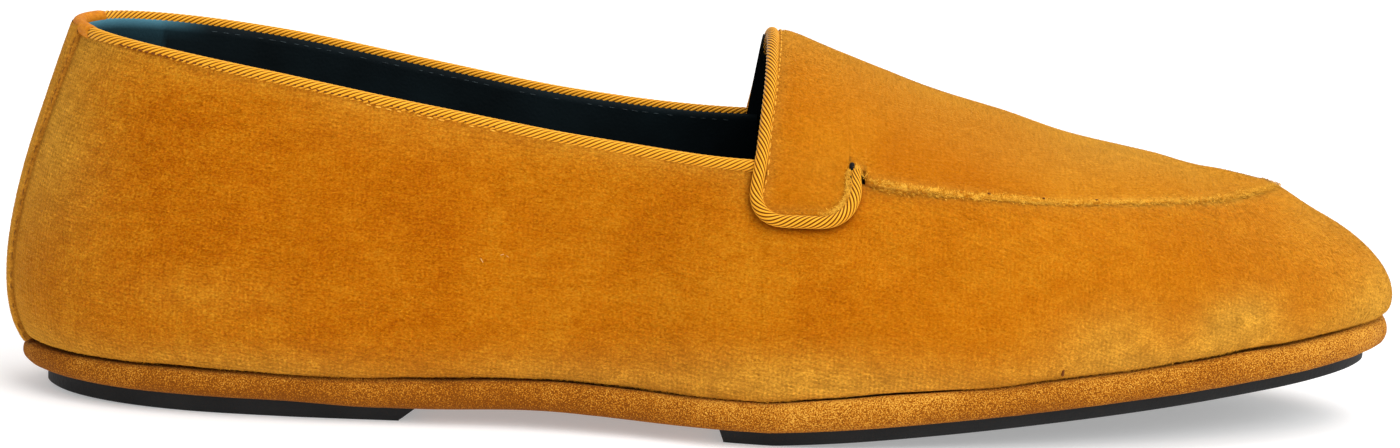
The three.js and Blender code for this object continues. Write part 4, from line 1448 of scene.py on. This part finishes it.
def collar_line_below(rows, x_from, x_to, down):
    """Points and normals on the wall at a distance under the collar."""
    rows = rows[(x_wall[rows] > x_from) & (x_wall[rows] < x_to)]
    return [line_at(wall[key][rows], -wall["left"][rows], -down) for key in ("points", "normal")]


wall_halves = rows_all[1 : len(rows_all) // 2], rows_all[len(rows_all) // 2 :]
collar_run = COLLAR_STITCH_START, COLLAR_CORD_END - 2
collar_lines = [collar_line_below(rows, *collar_run, COLLAR_STITCH_DOWN) for rows in wall_halves]
sew("collar_stitches", collar_lines, brown_thread, "cord")

# Pale tufts that the collar's stitches pull up on the outer side
tuft_line = collar_line_below(wall_halves[0], TUFT_START, TUFT_END, TUFT_DOWN)
sew("collar_tufts", [tuft_line], gold_thread, "velvet")

# Stitch row on the lining under the collar
lining_lines = []
for side in (OUTER, INNER):
    u = side * np.linspace(place_at(THROAT_X - 3), place_at(HEEL_LINING_END + 6), 350)
    share = collar_share(u, above=0.2, height=-WALL)
    lining_lines.append((over(u, share, -WALL), -outward(u, share)))
sew("lining_stitches", lining_lines, navy_thread, "lining")

# Dark stitches in the apron's seam, up to the toe, and in the seams of the strip at the heel
SEAM_STITCH_END = 225
seam_rows = vamp_rows[x_wall[vamp_rows] > NOTCH_FRONT + 0.5]
seam_line, seam_normal = wall["points"][seam_rows, -1], wall["normal"][seam_rows, -1]
seam_up = unit(wall["points"][seam_rows, -1] - wall["points"][seam_rows, -3])
sewn = seam_line + 0.9 * seam_up + 0.1 * seam_normal
seam_tip = int(np.argmax(sewn[:, 0]))
seam_lines = []
for rows in (np.arange(seam_tip), np.arange(seam_tip, len(sewn))):
    rows = rows[sewn[rows, 0] < SEAM_STITCH_END]
    seam_lines.append((sewn[rows], seam_normal[rows]))
sew("seam_stitches", seam_lines, brown_thread, "velvet")
back_lines = []
for k in (1, -2):
    back_normal = backstay["normal"][:, k]
    back_lines.append((backstay["points"][:, k] + 0.1 * back_normal, back_normal))
sew("backstay_stitches", back_lines, olive_thread, "velvet")


FUZZ_PER_MM = 110
# Corners of a fuzz blade nearer its root get painted shade in the pile's material.
FUZZ_TIPS = (0.5, 0.5, 1.0)
SEAM_FUZZ_SPREAD, EDGE_FUZZ_SPREAD = 0.6, 0.25
FUZZ_WIDTH, TAB_FUZZ_WIDTH, FRAY_WIDTH = 0.18, 0.16, 0.13
TAB_FUZZ_COUNT, TAB_FUZZ_FRONT = 1500, 159
FRAY_COUNT, FRAY_TUCKED = 50, 30  # loose threads at each end of the cord, and those that stay by its hole
FOOT_MIDDLE_HEIGHT = 30


def out_of_foot(points):
    """Directions away from the middle line of the foot."""
    return unit(points * (0, 1, 1) - (0, 0, FOOT_MIDDLE_HEIGHT))


def blades(name, root, direction, up, length, width, pale, slot):
    """Loose blades of pile or thread that lie towards a direction on a cloth that faces up."""
    direction = unit(direction)
    side = unit(np.cross(direction, up)) * width / 2
    tip = root + direction * length[:, None]
    values = {"pale": pale[:, None], "tip": FUZZ_TIPS, "rough": 1.0}
    sow(name, np.stack([root + side, root - side, tip], 1), up, slot, values)


def make_seam_fuzz(name, line, normal, climb, kept, spread, seed):
    """Pale pile that spills over an edge of the apron's seam. kept, along the line, thins it out."""
    random = np.random.default_rng(seed)
    run = run_length(line, 0)
    at = random.uniform(0, run[-1], int(run[-1] * FUZZ_PER_MM))
    clump = waves(np.stack([at, 0 * at, 0 * at], 1), 5, seed + 1)
    at = at[random.uniform(size=len(at)) < (0.7 + 0.3 * clump) * np.interp(at, run, kept)]
    count = len(at)
    up, climb = unit(along_line(at, run, normal)), unit(along_line(at, run, climb))
    root = along_line(at, run, line) + climb * random.normal(0.1, spread, (count, 1))
    root += up * random.uniform(0.15, 0.5, (count, 1)) * spread / SEAM_FUZZ_SPREAD
    direction = climb * random.normal(0, 1.0, (count, 1)) + 0.25 * up
    direction += np.cross(climb, up) * random.normal(0, 0.7, (count, 1))
    length = random.uniform(0.35, 0.85, count)
    pale = np.where(random.uniform(size=count) < 0.65, 1.0, 0.1)
    blades(name, root, direction, up, length, FUZZ_WIDTH, pale, "velvet")


make_seam_fuzz("seam_fuzz", seam_line, seam_normal, seam_up, np.ones(len(seam_line)), SEAM_FUZZ_SPREAD, 301)
raised = (apron["x_rows"] > NOTCH_FRONT + 0.5) & (apron["x_rows"] < APRON_FLUSH_START)
for name, first, second, seed in (("outer_edge_fuzz", 0, 2, 305), ("inner_edge_fuzz", -1, -3, 307)):
    edge_line, edge_normal = apron["points"][raised, first], apron["normal"][raised, first]
    edge_climb = apron["points"][raised, second] - edge_line
    thinned = 0.4 * smooth((APRON_FLUSH_START - edge_line[:, 0]) / 12)
    make_seam_fuzz(name, edge_line, edge_normal, edge_climb, thinned, EDGE_FUZZ_SPREAD, seed)


def make_tab_fuzz():
    """Pale pile pushed up between the tabs and their cord, most of it at the front."""
    random = np.random.default_rng(321)
    line = apron_line[(apron_line[:, 2] < NOTCH_TOP - 1) & (apron_line[:, 0] > TAB_REAR + 4)]
    wanted = 0.2 + 0.8 * smooth((line[:, 0] - TAB_FUZZ_FRONT) / 6)
    chosen = random.choice(len(line), TAB_FUZZ_COUNT, p=wanted / wanted.sum())
    up = out_of_foot(line[chosen])
    middle = np.array([(TAB_REAR + TAB_FRONT) / 2, 0, TAB_TOP])
    inward = (middle - line[chosen]) * (1, 0, 1)
    inward = unit(inward - up * (inward * up).sum(1)[:, None])
    spread = random.normal(0, 1, (3, len(chosen), 1))
    root = line[chosen] + inward * (CORD_RADIUS + 0.1 + 0.25 * np.abs(spread[0]))
    root += up * (0.55 + 0.2 * spread[1])
    root[:, 0] += random.uniform(-0.4, 0.4, len(chosen))
    direction = inward * (0.2 + 0.7 * spread[2]) + 0.3 * up
    direction += np.cross(inward, up) * random.normal(0, 1, (len(chosen), 1))
    length = random.uniform(0.35, 0.9, len(chosen))
    pale = np.clip(wanted[chosen] + random.normal(-0.1, 0.25, len(chosen)), 0, 1)
    blades("tab_fuzz", root, direction, up, length, TAB_FUZZ_WIDTH, pale, "velvet")


make_tab_fuzz()


def make_cord_ends():
    """Near-black dashes of painted shadow where the apron's cord goes into its holes, with frayed ends
    standing out.
    """
    random = np.random.default_rng(311)
    roots, directions = [], []
    holes, ways, ups = [], [], []
    for end, before in ((0, 4), (-1, -5)):
        tip = apron_line[end]
        way = unit(tip - apron_line[before])
        up = out_of_foot(tip)
        holes.append(tip + way * 0.7 + up * 0.35 - (0.9, 0, 0))
        ways.append(way)
        ups.append(up)
        spread = random.normal(0, 0.4, (FRAY_COUNT, 3))
        roots.append(tip + spread * 0.9 + up * 0.5)
        roots[-1][FRAY_TUCKED:] += (1.7, 0, -1.6)
        directions.append(way + 0.5 * up + random.normal(0, 0.8, (FRAY_COUNT, 3)))
    # Painted shadow: near-black dashes stand in for the shade inside the holes.
    dashes("cord_hole_shadows", np.array(holes), np.array(ways), np.array(ups), 1.9, 0.55, hole_shade, "cord", dip=0.1)
    root = np.concatenate(roots)
    length = random.uniform(0.8, 2.0, len(root))
    up = np.repeat(ups, len(root) // len(ups), axis=0)
    blades("cord_fray", root, np.concatenate(directions), up, length, FRAY_WIDTH, np.ones(len(root)), "cord")


make_cord_ends()


LINT = table("x z length", (93.6, 34.6, 1.2), (97.6, 35.9, 0.8), (98.7, 35.6, 0.6))
NICK_X, NICK_SHARE = 210.4, 0.035


def make_marks():
    """Three shreds of lint on the quarter and a dark nick at the foot of the vamp."""
    centre = lifted_at(OUTER, LINT["x"], LINT["z"], 0.35)
    along = np.array([(0.5, 0, -0.8), (1, 0, 0.3), (0.8, 0, -0.5)])
    up = np.repeat([(0.0, -1.0, 0.15)], 3, axis=0)
    dashes("lint", centre, along, up, LINT["length"], 0.06, lint, "velvet", dip=0.3)
    foot = over(place_at([NICK_X]), [NICK_SHARE], 0.05)
    along, up = np.array([(0.1, 0, 1.0)]), np.array([(0.0, -1.0, 0.0)])
    dashes("nick", foot, along, up, 1.7, 0.28, brown_thread, "velvet")


make_marks()

# Camera at the photograph's angle, rolled a little about its own line of sight
AZIMUTH, ELEVATION, ROLL = math.radians(-1.5), math.radians(10), math.radians(2.1)
DISTANCE = 1.1
TARGET_HEIGHT = 0.039
PICTURE_WIDTH, FOCAL_PIXELS, SENSOR_WIDTH = 1400, 5330, 36
OFF_CENTRE_RIGHT, OFF_CENTRE_UP = 0.001135, 0.00144


def make_camera():
    """Camera that looks a little beside the middle of the shoe."""
    reach = math.cos(ELEVATION)
    back = Vector((math.sin(AZIMUTH) * reach, -math.cos(AZIMUTH) * reach, math.sin(ELEVATION)))
    level = Vector((math.cos(AZIMUTH), math.sin(AZIMUTH), 0))
    upright = back.cross(level)
    right = level * math.cos(ROLL) + upright * math.sin(ROLL)
    up = upright * math.cos(ROLL) - level * math.sin(ROLL)
    target = Vector((0, 0, TARGET_HEIGHT)) - right * OFF_CENTRE_RIGHT - up * OFF_CENTRE_UP
    data = bpy.data.cameras.new("camera")
    data.sensor_width = SENSOR_WIDTH
    data.lens = FOCAL_PIXELS / PICTURE_WIDTH * SENSOR_WIDTH
    camera = bpy.data.objects.new("camera", data)
    bpy.context.scene.collection.objects.link(camera)
    turned = Matrix((right, up, back)).transposed().to_4x4()
    camera.matrix_world = Matrix.Translation(target + back * DISTANCE) @ turned
    bpy.context.scene.camera = camera


LIGHT_TARGET = Vector((0, 0, 0.04))
WHITE = (1, 1, 1, 1)
FLOOR_SIZE, FLOOR_GLOW, SKY_STRENGTH = 12, 0.35, 0.62


def make_light(name, place_from, size, power):
    """Round soft light that looks at the shoe."""
    data = bpy.data.lights.new(name, "AREA")
    data.shape = "DISK"
    data.size = size
    data.energy = power
    lamp = bpy.data.objects.new(name, data)
    lamp.location = place_from
    lamp.rotation_mode = "QUATERNION"
    lamp.rotation_quaternion = (LIGHT_TARGET - Vector(place_from)).to_track_quat("-Z", "Y")
    bpy.context.scene.collection.objects.link(lamp)


def make_studio():
    """Pale floor, soft light from above and in front, and an even sky."""
    bpy.ops.mesh.primitive_plane_add(size=FLOOR_SIZE)
    floor = bpy.context.object
    floor.name = "floor"
    shader = Shader("floor", Roughness=0.9, Specular_IOR_Level=0.1)
    shader.set(shader.surface, {"Base Color": linear(225, 225, 225)})
    shader.set(shader.surface, {"Emission Color": WHITE, "Emission Strength": FLOOR_GLOW})
    floor.data.materials.append(shader.material)
    world = bpy.data.worlds.new("studio")
    world.use_nodes = True
    sky = world.node_tree.nodes["Background"].inputs
    sky["Color"].default_value = WHITE
    sky["Strength"].default_value = SKY_STRENGTH
    bpy.context.scene.world = world
    make_light("key", (0.55, -1.0, 0.95), size=1.2, power=15)
    make_light("top", (0.3, 0.1, 1.3), size=1.4, power=10)
    bpy.context.scene.view_settings.view_transform = "Standard"


make_camera()
make_studio()
